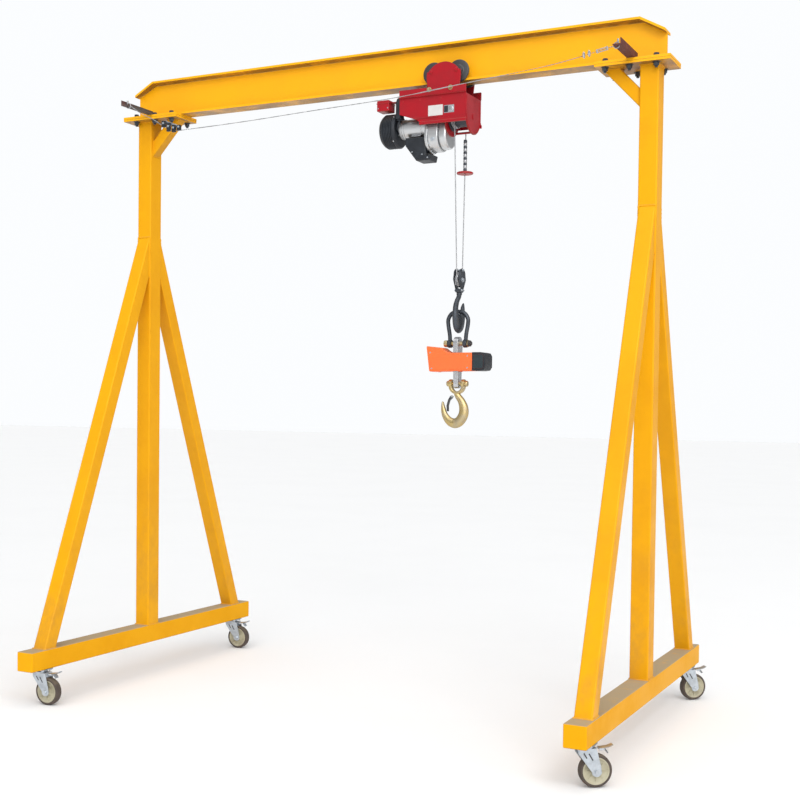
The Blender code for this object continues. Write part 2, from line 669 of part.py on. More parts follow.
# ---------------------------------------------------------------- hook block
def block_cheeks():
    """Two cheeks, the sheave's axle and the crosshead that the hook turns in."""
    z = BLOCK_Z
    outline = arc((0, z), 0.0440, 0, 180, 10) + arc((0, z - 0.044), 0.0175, 180, 360, 6)
    outline = [(y, height + (0.014 if height > z + 0.02 else 0)) for y, height in outline]
    cheeks = []
    for end in (-1, 1):
        sides = sorted((BLOCK_X + end * 0.0125, BLOCK_X + end * 0.0165))
        cheeks.append(piece("block_cheek_%d" % end, prism(outline, "X", *sides), "dark_steel"))
    crosshead = piece("hook_block", box((BLOCK_X - 0.0160, -0.017, z - 0.062),
                                        (BLOCK_X + 0.0160, 0.017, z - 0.0425)), "dark_steel")
    axle = piece("block_axle", turned(
        [(0, -0.021), (0.010, -0.021), (0.010, -0.016), (0.006, -0.016), (0.006, 0.016),
         (0.010, 0.016), (0.010, 0.021), (0, 0.021)], "X", (BLOCK_X, 0, z), 16), "dark_steel")
    spacer = piece("block_spacer", rod(0.005, "X", (BLOCK_X, 0, z + 0.050), -0.014, 0.014, 12),
                   "dark_steel")
    hole = piece("block_hook_hole", rod(0.0090, "Z", (BLOCK_X, 0, z), -0.07, -0.03), "dark_steel")
    weld(crosshead, *cheeks, axle, spacer)
    cut(crosshead, hole)


def block_sheave():
    groove = SHEAVE_PITCH - ROPE_RADIUS - GAP
    profile = [(0.0065, -0.009), (0.039, -0.009), (0.040, -0.0075), (groove, -0.003),
               (groove, 0.003), (0.040, 0.0075), (0.039, 0.009), (0.0065, 0.009)]
    centre = (BLOCK_X, 0, BLOCK_Z)
    piece("block_sheave", turned(profile, "X", centre, 32), "zinc", centre)


def block_hook():
    """Forged hook, in the YZ plane, that carries the shackle."""
    holder = empty("block_hook_turn", (BLOCK_X, 0, 0))
    z = BLOCK_Z
    stations = [(0.000, z - 0.0700, 0.012, 0.012), (-0.006, z - 0.085, 0.012, 0.012),
                (-0.026, z - 0.106, 0.013, 0.012), (-0.041, z - 0.132, 0.015, 0.013),
                (-0.044, z - 0.160, 0.018, 0.014), (-0.036, z - 0.192, 0.026, 0.018),
                (-0.004, z - 0.219, 0.049, 0.023), (0.030, z - 0.195, 0.026, 0.018),
                (0.043, z - 0.165, 0.014, 0.013), (0.046, z - 0.135, 0.010, 0.010),
                (0.053, z - 0.116, 0.005, 0.005)]
    hook = piece("block_hook", forged(stations, "Y"), "dark_steel", holder=holder)
    shank = piece("block_hook_shank", turned(
        [(0, -0.075), (0.014, -0.075), (0.014, -0.0625), (0.0085, -0.0625), (0.0085, -0.0440),
         (0, -0.0440)], "Z", (0, 0, z), 20), "dark_steel", holder=holder)
    weld(hook, shank)


# ---------------------------------------------------------------- shackle and scale
def shackle():
    holder = empty("tackle", (TACKLE_X, 0, 0))
    z = SHACKLE_PIN_Z
    bow = [(-0.043, z + 0.012), (-0.045, z + 0.045), (-0.0535, z + 0.095),
           (-0.0530, z + 0.125), (-0.034, z + 0.1520), (0, z + 0.1605), (0.034, z + 0.1520),
           (0.0530, z + 0.125), (0.0535, z + 0.095), (0.045, z + 0.045), (0.043, z + 0.012)]
    loop = piece("shackle", forged([(x, h, 0.0105, 0.0105) for x, h in bow], "X"), "dark_steel",
                 holder=holder)
    ears = [piece("shackle_ear_%d" % end, rod(0.021, "X", (0, 0, z), *sorted(
        (end * 0.032, end * 0.054)), 24), "dark_steel", holder=holder) for end in (-1, 1)]
    bore = piece("shackle_bore", rod(0.0113, "X", (0, 0, z), -0.07, 0.07), "dark_steel",
                 holder=holder)
    weld(loop, *ears)
    cut(loop, bore)
    piece("shackle_pin", turned(
        [(0, -0.073), (0.015, -0.073), (0.017, -0.070), (0.017, -0.0550), (0.011, -0.0550),
         (0.011, 0.0550), (0.019, 0.0550), (0.019, 0.070), (0.010, 0.0705), (0.010, 0.076),
         (0, 0.076)], "X", (0, 0, z), 24), "yellow_zinc", holder=holder)


def scale():
    """Crane scale: a load plate with an eye at each end, through a cast case."""
    holder = empty("scale_turn", (TACKLE_X, 0, 0))
    top, foot = SHACKLE_PIN_Z, LOAD_PIN_Z
    outline = arc((0, top), 0.034, 0, 180, 10) + arc((0, foot), 0.024, 180, 360, 8)
    plate = piece("scale_load_plate", prism(outline, "X", -0.0125, 0.0125), "polished_steel",
                  holder=holder)
    upper = piece("scale_upper_eye", rod(0.0113, "X", (0, 0, top), -0.03, 0.03), "polished_steel",
                  holder=holder)
    lower = piece("scale_lower_eye", rod(0.0093, "X", (0, 0, foot), -0.03, 0.03), "polished_steel",
                  holder=holder)
    cut(plate, upper, lower)

    z = SCALE_Z
    side = [(-0.139, z - 0.050), (0.136, z - 0.0455), (0.159, z - 0.042), (0.168, z - 0.026),
            (0.168, z + 0.026), (0.160, z + 0.041), (0.140, z + 0.045), (-0.030, z + 0.045),
            (-0.052, z + 0.054), (-0.074, z + 0.071), (-0.156, z + 0.0795)]
    bm = prism(side, "Y", -0.045, 0.045)
    bmesh.ops.bevel(bm, geom=bm.edges[:], offset=0.006, segments=2, profile=0.5,
                    affect='EDGES')
    case = piece("scale_case", bm, "orange_case", holder=holder)
    slot = piece("scale_slot", box((-0.0128, -0.0350, z - 0.08), (0.0128, 0.0350, z + 0.09)),
                 "orange_case", holder=holder)
    cut(case, slot)


def load_hook():
    """Clevis hook on the scale's lower eye, with a sprung safety latch."""
    holder = empty("load_hook_turn", (TACKLE_X, 0, 0))
    z = LOAD_PIN_Z
    stations = [(-0.002, z - 0.046, 0.016, 0.015), (0.006, z - 0.064, 0.016, 0.015),
                (0.024, z - 0.088, 0.019, 0.016), (0.037, z - 0.123, 0.024, 0.018),
                (0.035, z - 0.158, 0.026, 0.019), (0.014, z - 0.190, 0.026, 0.019),
                (-0.014, z - 0.200, 0.025, 0.018), (-0.044, z - 0.187, 0.021, 0.016),
                (-0.066, z - 0.158, 0.016, 0.013), (-0.075, z - 0.126, 0.012, 0.011),
                (-0.079, z - 0.094, 0.005, 0.006)]
    hook = piece("load_hook", forged(stations, "X"), "yellow_zinc", holder=holder)
    outline = [(-0.043, z)]
    outline += arc((0, z - 0.010), 0.043, 180, 360, 12)
    outline += [(0.043, z), (0.025, z), (0.025, z - 0.014)]
    outline += arc((0, z - 0.014), 0.025, 0, -180, 8)[1:]
    outline += [(-0.025, z)]
    yoke = piece("load_hook_yoke", prism(outline, "Y", -0.016, 0.016), "yellow_zinc",
                 holder=holder)
    ears = [piece("load_hook_ear_%d" % end, rod(0.022, "X", (0, 0, z), *sorted(
        (end * 0.0245, end * 0.0432)), 24), "yellow_zinc", holder=holder) for end in (-1, 1)]
    bore = piece("load_hook_bore", rod(0.0093, "X", (0, 0, z), -0.06, 0.06), "yellow_zinc",
                 holder=holder)
    weld(hook, yoke, *ears)
    cut(hook, bore)
    piece("load_hook_pin", turned(
        [(0, -0.056), (0.012, -0.056), (0.014, -0.053), (0.014, -0.0434), (0.009, -0.0434),
         (0.009, 0.0434), (0.015, 0.0434), (0.015, 0.054), (0.013, 0.057), (0, 0.057)],
        "X", (0, 0, z), 24), "yellow_zinc", holder=holder)

    pivot = (-0.028, 0, z - 0.066)
    strip = [(-0.006, 0.002), (-0.001, 0.006), (0.004, 0.003), (0.002, -0.006),
             (-0.014, -0.020), (-0.0215, -0.045), (-0.0205, -0.074), (-0.0245, -0.074),
             (-0.0270, -0.045), (-0.0190, -0.017)]
    strip = [(pivot[0] + x, pivot[2] + h) for x, h in strip]
    piece("load_hook_latch", prism(strip, "Y", -0.009, 0.009), "dark_steel", pivot, holder,
          smooth=False)


# ---------------------------------------------------------------- build
def main():
    for old in list(bpy.data.objects):
        bpy.data.objects.remove(old)
    for sign in (1, -1):
        foot_beam(sign)
        column(sign)
        for end in (1, -1):
            leg_brace(sign, end)
        knee_brace(sign)
        column_plate(sign)
        wire_arm(sign)
        castor_y = FOOT_LENGTH / 2 - CASTOR_INSET
        castor(side_name(sign) + "_front", sign * LEG_X, -castor_y)
        castor(side_name(sign) + "_back", sign * LEG_X, castor_y)
    i_beam()
    festoon_wire()
    for end in (1, -1):
        trolley_plate(end)
        for step in (1, -1):
            trolley_wheel(end, step)
    for x in TIE_BOLTS:
        tie_bolt(x)
    hoist_frame()
    rope_drum()
    hoist_motor()
    fan_cover()
    gearbox()
    control_box()
    limit_switch_box()
    limit_weight()
    straight_rope("rope_fall_front", (0.469, -DRUM_BARREL - ROPE_RADIUS - GAP, DRUM_Z),
                  (BLOCK_X, -SHEAVE_PITCH, BLOCK_Z))
    straight_rope("rope_fall_back", (BLOCK_X + 0.009, SHEAVE_PITCH + 0.001, BEAM_BOTTOM - 0.248),
                  (BLOCK_X, SHEAVE_PITCH, BLOCK_Z))
    block_cheeks()
    block_sheave()
    block_hook()
    shackle()
    scale()
    load_hook()


if __name__ == "__main__":
    main()
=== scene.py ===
"""Looks of a portable gantry crane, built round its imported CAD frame."""
import json
import math
import random

import bmesh
import bpy
from bpy.props import FloatProperty, FloatVectorProperty, IntProperty, PointerProperty
from mathutils import Matrix, Vector


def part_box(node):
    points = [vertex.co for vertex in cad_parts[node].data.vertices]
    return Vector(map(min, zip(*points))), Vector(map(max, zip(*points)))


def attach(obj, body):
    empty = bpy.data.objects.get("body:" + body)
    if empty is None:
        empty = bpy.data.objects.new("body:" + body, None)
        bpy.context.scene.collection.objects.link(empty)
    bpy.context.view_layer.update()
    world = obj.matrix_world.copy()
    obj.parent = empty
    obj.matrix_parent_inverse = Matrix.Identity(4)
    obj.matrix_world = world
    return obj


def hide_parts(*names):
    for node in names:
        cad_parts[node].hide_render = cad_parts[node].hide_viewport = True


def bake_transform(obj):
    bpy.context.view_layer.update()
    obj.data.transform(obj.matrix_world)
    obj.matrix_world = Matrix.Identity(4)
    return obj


bl_info = {
    "name": "Portable Gantry Crane",
    "version": (1, 0, 0),
    "blender": (4, 5, 0),
    "location": "View3D > Sidebar > Gantry",
    "description": "Builds the finishes and the small parts of a portable gantry crane",
    "category": "Object",
}

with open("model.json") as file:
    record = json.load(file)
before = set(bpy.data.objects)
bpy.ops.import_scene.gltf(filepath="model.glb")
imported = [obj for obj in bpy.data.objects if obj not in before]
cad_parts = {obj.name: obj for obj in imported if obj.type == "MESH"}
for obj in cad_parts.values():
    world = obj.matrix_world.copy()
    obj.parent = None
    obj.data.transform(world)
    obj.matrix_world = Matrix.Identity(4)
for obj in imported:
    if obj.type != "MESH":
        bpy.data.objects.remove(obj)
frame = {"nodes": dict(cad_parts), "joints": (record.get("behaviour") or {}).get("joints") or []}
NODES = frame["nodes"]
SIDES = {"right": 1, "left": -1}
PLACES = ("right_front", "right_back", "left_front", "left_back")
UP, ACROSS, ALONG = Vector((0, 0, 1)), Vector((0, 1, 0)), Vector((1, 0, 0))
WAYS = (-1, 1)
# These stand a flat outline up: its face looks along X, or along -Y.
FACING_X = Matrix(((0, 0, 1, 0), (1, 0, 0, 0), (0, 1, 0, 0), (0, 0, 0, 1)))
FACING_Y = Matrix.Rotation(math.pi / 2, 4, 'X')


def middle(node):
    low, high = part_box(node)
    return (Vector(low) + Vector(high)) / 2


def low_of(node):
    return Vector(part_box(node)[0])


def high_of(node):
    return Vector(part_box(node)[1])


def joint(name):
    return next(j for j in frame["joints"] if j["name"] == name)


# ---------------------------------------------------------------- settings
def colour(label, text, default):
    return FloatVectorProperty(name=label, description=text, default=default, size=3,
                               subtype='COLOR', min=0, max=1)


def length(label, text, default):
    return FloatProperty(name=label, description=text, default=default, min=0,
                         unit='LENGTH', subtype='DISTANCE', precision=4)


class GantryColours(bpy.types.PropertyGroup):
    yellow: colour("Yellow enamel", "Paint of the legs and the beam", (0.79, 0.368, 0.003))
    yellow_deep: colour("Thin enamel", "Where the yellow paint is thin", (0.68, 0.285, 0.002))
    red: colour("Red enamel", "Paint of the hoist and the trolley", (0.37, 0.004, 0.012))
    primer: colour("Red oxide", "Paint of the right wire arm", (0.115, 0.028, 0.024))
    grey_paint: colour("Grey paint", "Paint of the left wire arm", (0.055, 0.057, 0.06))
    orange: colour("Orange enamel", "Case of the crane scale", (0.93, 0.155, 0.03))
    zinc: colour("Bright zinc", "Castor brackets and fasteners", (0.56, 0.61, 0.66))
    gold_zinc: colour("Yellow zinc", "Load hook, pins and bosses", (0.56, 0.43, 0.19))
    forged: colour("Forged steel", "Shackle, block and upper hook", (0.075, 0.085, 0.1))
    steel: colour("Machined steel", "Load plates and wheel treads", (0.6, 0.61, 0.63))
    cast: colour("Cast aluminium", "Motor and gearbox", (0.6, 0.61, 0.62))
    black: colour("Black moulding", "Fan cover, boxes and display", (0.013, 0.016, 0.021))
    tread: colour("Tyre", "Tread of the castor wheels", (0.06, 0.045, 0.036))
    core: colour("Wheel core", "Body of the castor wheels", (0.45, 0.42, 0.3))
    dust: colour("Dust", "Dust on upward faces", (0.4, 0.32, 0.21))
    # Painted shade: this brown darkens the faces that look down.
    underside_shade: colour("Underside", "Stain on faces that look down", (0.16, 0.085, 0.025))
    floor: colour("Floor", "Floor and backdrop", (0.94, 0.94, 0.94))


class GantrySizes(bpy.types.PropertyGroup):
    tube_corner: length("Tube corner", "Outer corner radius of the square tubes", 0.007)
    weld_leg: length("Weld", "Radius of the weld beads", 0.0045)
    plate_bolt: length("Plate bolt", "Width across flats of the beam's bolts", 0.024)
    rope: length("Rope", "Diameter of the hoist's wire rope", 0.006)
    strand_pitch: length("Rope lay", "Length of one turn of a rope's strands", 0.04)
    festoon: length("Festoon wire", "Diameter of the slack wire", 0.005)
    camera_height: length("Camera height", "Height of the camera above the floor", 1.5485)
    sky_light: FloatProperty(name="Sky light", description="Strength of the even light",
                             default=0.45, min=0, max=2)
    round_steps: IntProperty(name="Round steps", description="Sides of the turned pieces",
                             default=64, min=12, max=128)


# ---------------------------------------------------------------- mesh helpers
def at(x, y, z):
    return Matrix.Translation((x, y, z))


def rod(radius, start, stop):
    """The profile of a plain round bar."""
    return [(0, start), (radius, start), (radius, stop), (0, stop)]


def mirrored(half, middle=()):
    """A profile with its mirror image over the plane at height 0."""
    return half + list(middle) + [(r, -h) for r, h in reversed(half)]


def towards(place, direction):
    """A frame at a place with its Z along a direction."""
    turn = Vector(direction).to_track_quat('Z', 'Y').to_matrix().to_4x4()
    return Matrix.Translation(Vector(place)) @ turn


def lathe(profile, matrix, steps=32, slot=0):
    """A profile of (radius, height) turned about a frame's Z."""
    bm = bmesh.new()
    verts = [bm.verts.new((r, 0, h)) for r, h in profile]
    hollow = min(r for r, h in profile) > 0
    pairs = list(zip(verts, verts[1:]))
    if hollow:
        pairs.append((verts[-1], verts[0]))
    edges = [bm.edges.new(pair) for pair in pairs]
    bmesh.ops.spin(bm, geom=verts + edges, cent=(0, 0, 0), axis=UP, angle=math.tau,
                   steps=steps, use_merge=True)
    bmesh.ops.remove_doubles(bm, verts=bm.verts, dist=1e-6)
    bmesh.ops.dissolve_degenerate(bm, edges=bm.edges, dist=1e-7)
    return finished(bm, matrix, slot)


def finished(bm, matrix=Matrix.Identity(4), slot=0):
    bmesh.ops.recalc_face_normals(bm, faces=bm.faces)
    bmesh.ops.transform(bm, matrix=matrix, verts=bm.verts)
    for face in bm.faces:
        face.material_index = slot
    return bm


def slab(size, matrix, rounding=0.0, segments=2, slot=0):
    """A rounded block centred on a frame."""
    bm = bmesh.new()
    bmesh.ops.create_cube(bm, size=1)
    bmesh.ops.scale(bm, vec=size, verts=bm.verts)
    if rounding:
        bmesh.ops.bevel(bm, geom=bm.edges[:], offset=rounding, segments=segments, profile=0.5,
                        affect='EDGES', material=-1)
    return finished(bm, matrix, slot)


def extruded(outline, depth, matrix, rounding=0.0, segments=2, slot=0):
    """A flat outline in a frame's XY, extruded both ways along its Z, edges rounded."""
    bm = bmesh.new()
    face = bm.faces.new([bm.verts.new((a, b, -depth / 2)) for a, b in outline])
    moved = bmesh.ops.extrude_face_region(bm, geom=[face])["geom"]
    bmesh.ops.translate(bm, vec=(0, 0, depth),
                        verts=[v for v in moved if isinstance(v, bmesh.types.BMVert)])
    if rounding:
        rims = [e for e in bm.edges if abs(e.verts[0].co.z - e.verts[1].co.z) < 1e-7]
        bmesh.ops.bevel(bm, geom=rims, offset=rounding, segments=segments, profile=0.5,
                        affect='EDGES', material=-1, clamp_overlap=True)
    return finished(bm, matrix, slot)


def arc(centre, radius, start, end, steps):
    """Points on a circle between two angles in degrees."""
    points = []
    for i in range(steps + 1):
        angle = math.radians(start + (end - start) * i / steps)
        points.append((centre[0] + radius * math.cos(angle),
                       centre[1] + radius * math.sin(angle)))
    return points


def smooth_path(points, per_span):
    """Catmull-Rom points through a list of points of any length."""
    path = []
    padded = [points[0]] + list(points) + [points[-1]]
    for i in range(len(points) - 1):
        p0, p1, p2, p3 = (Vector(p) for p in padded[i:i + 4])
        for k in range(per_span):
            t = k / per_span
            path.append(0.5 * (2 * p1 + (p2 - p0) * t + (2 * p0 - 5 * p1 + 4 * p2 - p3) * t * t
                               + (3 * p1 - p0 - 3 * p2 + p3) * t ** 3))
    path.append(Vector(points[-1]))
    return path


def swept(path, sizes, sides=12, closed=False, slot=0, turn=0.0, flat=None):
    """A bar along a path of 3-D points.  Sizes gives each point's two radii; turn twists
    the section by so many radians a metre; flat is a steady sideways direction."""
    bm = bmesh.new()
    rings = []
    count = len(path)
    side = Vector(flat) if flat else None
    run_length = 0.0
    for i, place in enumerate(path):
        ahead = path[(i + 1) % count] if closed else path[min(i + 1, count - 1)]
        behind = path[i - 1] if closed or i else path[0]
        run = (ahead - behind).normalized()
        if i:
            run_length += (place - path[i - 1]).length
        if side is None:
            side = run.orthogonal()
        if not flat:
            side = (side - run * side.dot(run)).normalized()
        across = run.cross(side).normalized()
        spread = across.cross(run).normalized()
        shape = Matrix((across, spread, run)).transposed().to_4x4()
        shape.translation = place
        shape = shape @ Matrix.Rotation(turn * run_length, 4, 'Z')
        wide, thick = sizes[i] if isinstance(sizes, list) else sizes
        shape = shape @ Matrix.Diagonal((wide, thick, 1, 1))
        rings.append(bmesh.ops.create_circle(bm, cap_ends=False, radius=1, segments=sides,
                                             matrix=shape)["verts"])
    pairs = list(zip(rings, rings[1:]))
    if closed:
        pairs.append((rings[-1], rings[0]))
    for first, second in pairs:
        for i in range(sides):
            j = (i + 1) % sides
            bm.faces.new((first[i], first[j], second[j], second[i]))
    if not closed:
        bm.faces.new(rings[0][::-1])
        bm.faces.new(rings[-1])
    return finished(bm, Matrix.Identity(4), slot)


def merged(parts):
    whole = bmesh.new()
    for part in parts:
        sheet = bpy.data.meshes.new("part")
        part.to_mesh(sheet)
        part.free()
        whole.from_mesh(sheet)
        bpy.data.meshes.remove(sheet)
    return whole


def from_cad(node):
    """A merged copy of a CAD node, its flat faces whole again."""
    bm = bmesh.new()
    bm.from_mesh(NODES[node].data)
    bmesh.ops.remove_doubles(bm, verts=bm.verts, dist=1e-5)
    bmesh.ops.dissolve_limit(bm, angle_limit=math.radians(0.5), verts=bm.verts, edges=bm.edges)
    return bm


def soften(bm, offset, segments=2, wanted=lambda edge: True):
    """Rounds the convex edges that are wanted."""
    edges = [e for e in bm.edges if len(e.link_faces) == 2 and e.is_convex
             and e.calc_face_angle(0) > math.radians(30) and wanted(e)]
    bmesh.ops.bevel(bm, geom=edges, offset=offset, segments=segments, profile=0.5,
                    affect='EDGES', material=-1, clamp_overlap=True)
    return bm


def piece(name, bm, paints, body, stands_for=(), angle=35):
    """An object at the origin that rides on a body."""
    mesh = bpy.data.meshes.new(name)
    bm.to_mesh(mesh)
    bm.free()
    for paint in paints if isinstance(paints, (list, tuple)) else [paints]:
        mesh.materials.append(paint)
    mesh.shade_smooth()
    mesh.set_sharp_from_angle(angle=math.radians(angle))
    made = bpy.data.objects.new(name, mesh)
    bpy.context.collection.objects.link(made)
    evened = made.modifiers.new("even_normals", 'WEIGHTED_NORMAL')
    evened.keep_sharp = True
    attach(made, body)
    if stands_for:
        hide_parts(*stands_for)
    return made


def shell(node, bm, paints, body, name=None):
    """The piece that takes a CAD node's place."""
    return piece((name or node) + "_shell", bm, paints, body, [node])


def hex_head(across, height, matrix, slot=0):
    radius = across / math.sqrt(3)
    return lathe([(0, height), (radius * 0.86, height), (radius, height * 0.84), (radius, 0),
                  (0, 0)], matrix, 6, slot)


def washer(radius, height, matrix, slot=0):
    return lathe([(0, height), (radius * 0.96, height), (radius, height * 0.7), (radius, 0),
                  (0, 0)], matrix, 24, slot)


def bolt(place, direction, across, slot=0, tail=0.0):
    """A washer and a hexagon, with the bolt's thread standing out of a nut if it has a tail."""
    base = towards(place, direction)
    lift = base @ at(0, 0, across * 0.1)
    parts = [washer(across * 0.78, across * 0.1, base, slot),
             hex_head(across, across * (0.55 if not tail else 0.65), lift, slot)]
    if tail:
        radius = across * 0.32
        profile = [(0, 0)]
        pitch = across * 0.1
        turns = int(tail / pitch)
        for i in range(turns):
            profile += [(radius, pitch * i), (radius * 0.88, pitch * (i + 0.5))]
        profile += [(radius * 0.8, pitch * turns), (0, pitch * turns)]
        parts.append(lathe(profile, lift @ at(0, 0, across * 0.6), 16, slot))
    return parts


# ---------------------------------------------------------------- shader groups
def group_named(name, inputs, outputs):
    """An empty shader group with its sockets, its input node and its output node."""
    group = bpy.data.node_groups.new(name, 'ShaderNodeTree')
    for label, kind, default in inputs:
        socket = group.interface.new_socket(name=label, in_out='INPUT', socket_type=kind)
        socket.default_value = default
    for label, kind in outputs:
        group.interface.new_socket(name=label, in_out='OUTPUT', socket_type=kind)
    start = group.nodes.new('NodeGroupInput')
    end = group.nodes.new('NodeGroupOutput')
    return group, start, end


def feed(tree, value, socket):
    """Joins another socket to this one, or gives this one a plain value."""
    if isinstance(value, bpy.types.NodeSocket):
        tree.links.new(value, socket)
    else:
        socket.default_value = value


def upright(tree, output):
    """How far an Object coordinate or a normal reaches up."""
    place = tree.nodes.new('ShaderNodeTexCoord')
    split = tree.nodes.new('ShaderNodeSeparateXYZ')
    tree.links.new(place.outputs[output], split.inputs["Vector"])
    return split.outputs["Z"]


def noise(tree, scale, detail=4.0, rough=0.6, stretch=(1, 1, 1)):
    """Noise on Object coordinates; scale is a number or a socket."""
    place = tree.nodes.new('ShaderNodeTexCoord')
    spread = tree.nodes.new('ShaderNodeMapping')
    spread.inputs["Scale"].default_value = stretch
    cloud = tree.nodes.new('ShaderNodeTexNoise')
    cloud.inputs["Detail"].default_value = detail
    cloud.inputs["Roughness"].default_value = rough
    tree.links.new(place.outputs["Object"], spread.inputs["Vector"])
    tree.links.new(spread.outputs["Vector"], cloud.inputs["Vector"])
    feed(tree, scale, cloud.inputs["Scale"])
    return cloud.outputs["Fac"]


def ramp(tree, value, low, high):
    """The value spread so that low gives 0 and high gives 1."""
    node = tree.nodes.new('ShaderNodeMapRange')
    node.clamp = True
    node.interpolation_type = 'SMOOTHSTEP'
    tree.links.new(value, node.inputs["Value"])
    feed(tree, low, node.inputs["From Min"])
    feed(tree, high, node.inputs["From Max"])
    return node.outputs["Result"]


def times(tree, first, second, operation='MULTIPLY'):
    """Two values multiplied, or put through another operation."""
    node = tree.nodes.new('ShaderNodeMath')
    node.operation = operation
    feed(tree, first, node.inputs[0])
    feed(tree, second, node.inputs[1])
    return node.outputs[0]


def mix(tree, amount, first, second):
    node = tree.nodes.new('ShaderNodeMix')
    node.data_type = 'RGBA'
    factor, colour_a, colour_b, colour_out = 0, 6, 7, 2
    feed(tree, amount, node.inputs[factor])
    feed(tree, first, node.inputs[colour_a])
    feed(tree, second, node.inputs[colour_b])
    return node.outputs[colour_out]


def effect_group(name, settings, masks):
    """A group that lays a second colour over the first, through a mask that it also gives."""
    group, start, end = group_named(name, [
        ("Colour", 'NodeSocketColor', (1, 1, 1, 1)), ("Second", 'NodeSocketColor', (0, 0, 0, 1)),
        *((label, 'NodeSocketFloat', value) for label, value in settings.items())],
        [("Colour", 'NodeSocketColor'), ("Mask", 'NodeSocketFloat')])
    shown, given = masks(group, start.outputs)
    group.links.new(mix(group, shown, start.outputs["Colour"], start.outputs["Second"]),
                    end.inputs["Colour"])
    group.links.new(given, end.inputs["Mask"])
    return group


def mottle_group():
    """Soft patches of a second colour, as in hand-sprayed paint or plating."""
    def masks(group, given):
        broad = ramp(group, noise(group, given["Scale"], 5.0, 0.62), 0.38, 0.7)
        return times(group, broad, given["Amount"]), broad
    return effect_group("Mottle", {"Scale": 6.0, "Amount": 0.4}, masks)


def dust_group():
    """Dust that settles on faces that look up, thicker in patches."""
    def masks(group, given):
        upward = ramp(group, upright(group, "Normal"), 0.35, 0.95)
        patches = ramp(group, noise(group, 14.0, 6.0, 0.7), 0.0, 0.58)
        cover = times(group, patches, given["Amount"])
        mask = times(group, upward, times(group, cover, 0.95, 'MINIMUM'))
        return mask, mask
    return effect_group("Dust", {"Amount": 0.4}, masks)


def underside_shade_group():
    """Painted shade: a brown laid on faces that look down, where shade falls."""
    def masks(group, given):
        downward = ramp(group, times(group, upright(group, "Normal"), -1.0), 0.15, 0.75)
        patches = ramp(group, noise(group, 7.0, 5.0, 0.65), 0.1, 0.6)
        mask = times(group, times(group, downward, patches), given["Amount"])
        return mask, mask
    return effect_group("UnderShade", {"Amount": 0.4}, masks)


def chips_group():
    """Small chips and scuffs that show what is under the finish."""
    def masks(group, given):
        spots = noise(group, given["Scale"], 6.0, 0.75)
        where = ramp(group, noise(group, 3.0, 3.0, 0.5), 0.42, 0.62)
        edge = times(group, 0.8, times(group, given["Amount"], 0.5), 'SUBTRACT')
        mask = times(group, ramp(group, spots, edge, times(group, edge, 0.04, 'ADD')), where)
        return mask, mask
    return effect_group("Chips", {"Scale": 40.0, "Amount": 0.1}, masks)


def grime_group():
    """Brown dirt that is thickest near the floor."""
    def masks(group, given):
        low = ramp(group, upright(group, "Object"), given["Height"], 0.0)
        smears = ramp(group, noise(group, 6.0, 7.0, 0.7, (1, 1, 0.6)), 0.42, 0.75)
        mask = times(group, times(group, low, smears), given["Amount"])
        return mask, mask
    return effect_group("Grime", {"Height": 1.0, "Amount": 0.3}, masks)


def grain_group():
    """Orange peel, casting skin or moulded grain: a fine noise as a normal."""
    group, start, end = group_named("Grain", [
        ("Scale", 'NodeSocketFloat', 200.0), ("Depth", 'NodeSocketFloat', 0.0004)],
        [("Normal", 'NodeSocketVector'), ("Value", 'NodeSocketFloat')])
    value = noise(group, start.outputs["Scale"], 3.0, 0.5)
    bump = group.nodes.new('ShaderNodeBump')
    bump.inputs["Strength"].default_value = 1.0
    group.links.new(start.outputs["Depth"], bump.inputs["Distance"])
    group.links.new(value, bump.inputs["Height"])
    group.links.new(bump.outputs["Normal"], end.inputs["Normal"])
    group.links.new(value, end.inputs["Value"])
    return group


GROUP_MAKERS = {"Mottle": mottle_group, "Dust": dust_group, "UnderShade": underside_shade_group,
                "Chips": chips_group, "Grime": grime_group, "Grain": grain_group}


def use_group(tree, name, values):
    """Places a shader group with its own values; it is built the first time."""
    node = tree.nodes.new('ShaderNodeGroup')
    node.node_tree = bpy.data.node_groups.get(name) or GROUP_MAKERS[name]()
    for label, value in values.items():
        feed(tree, value, node.inputs[label])
    return node


def palette():
    return bpy.context.scene.gantry_colours


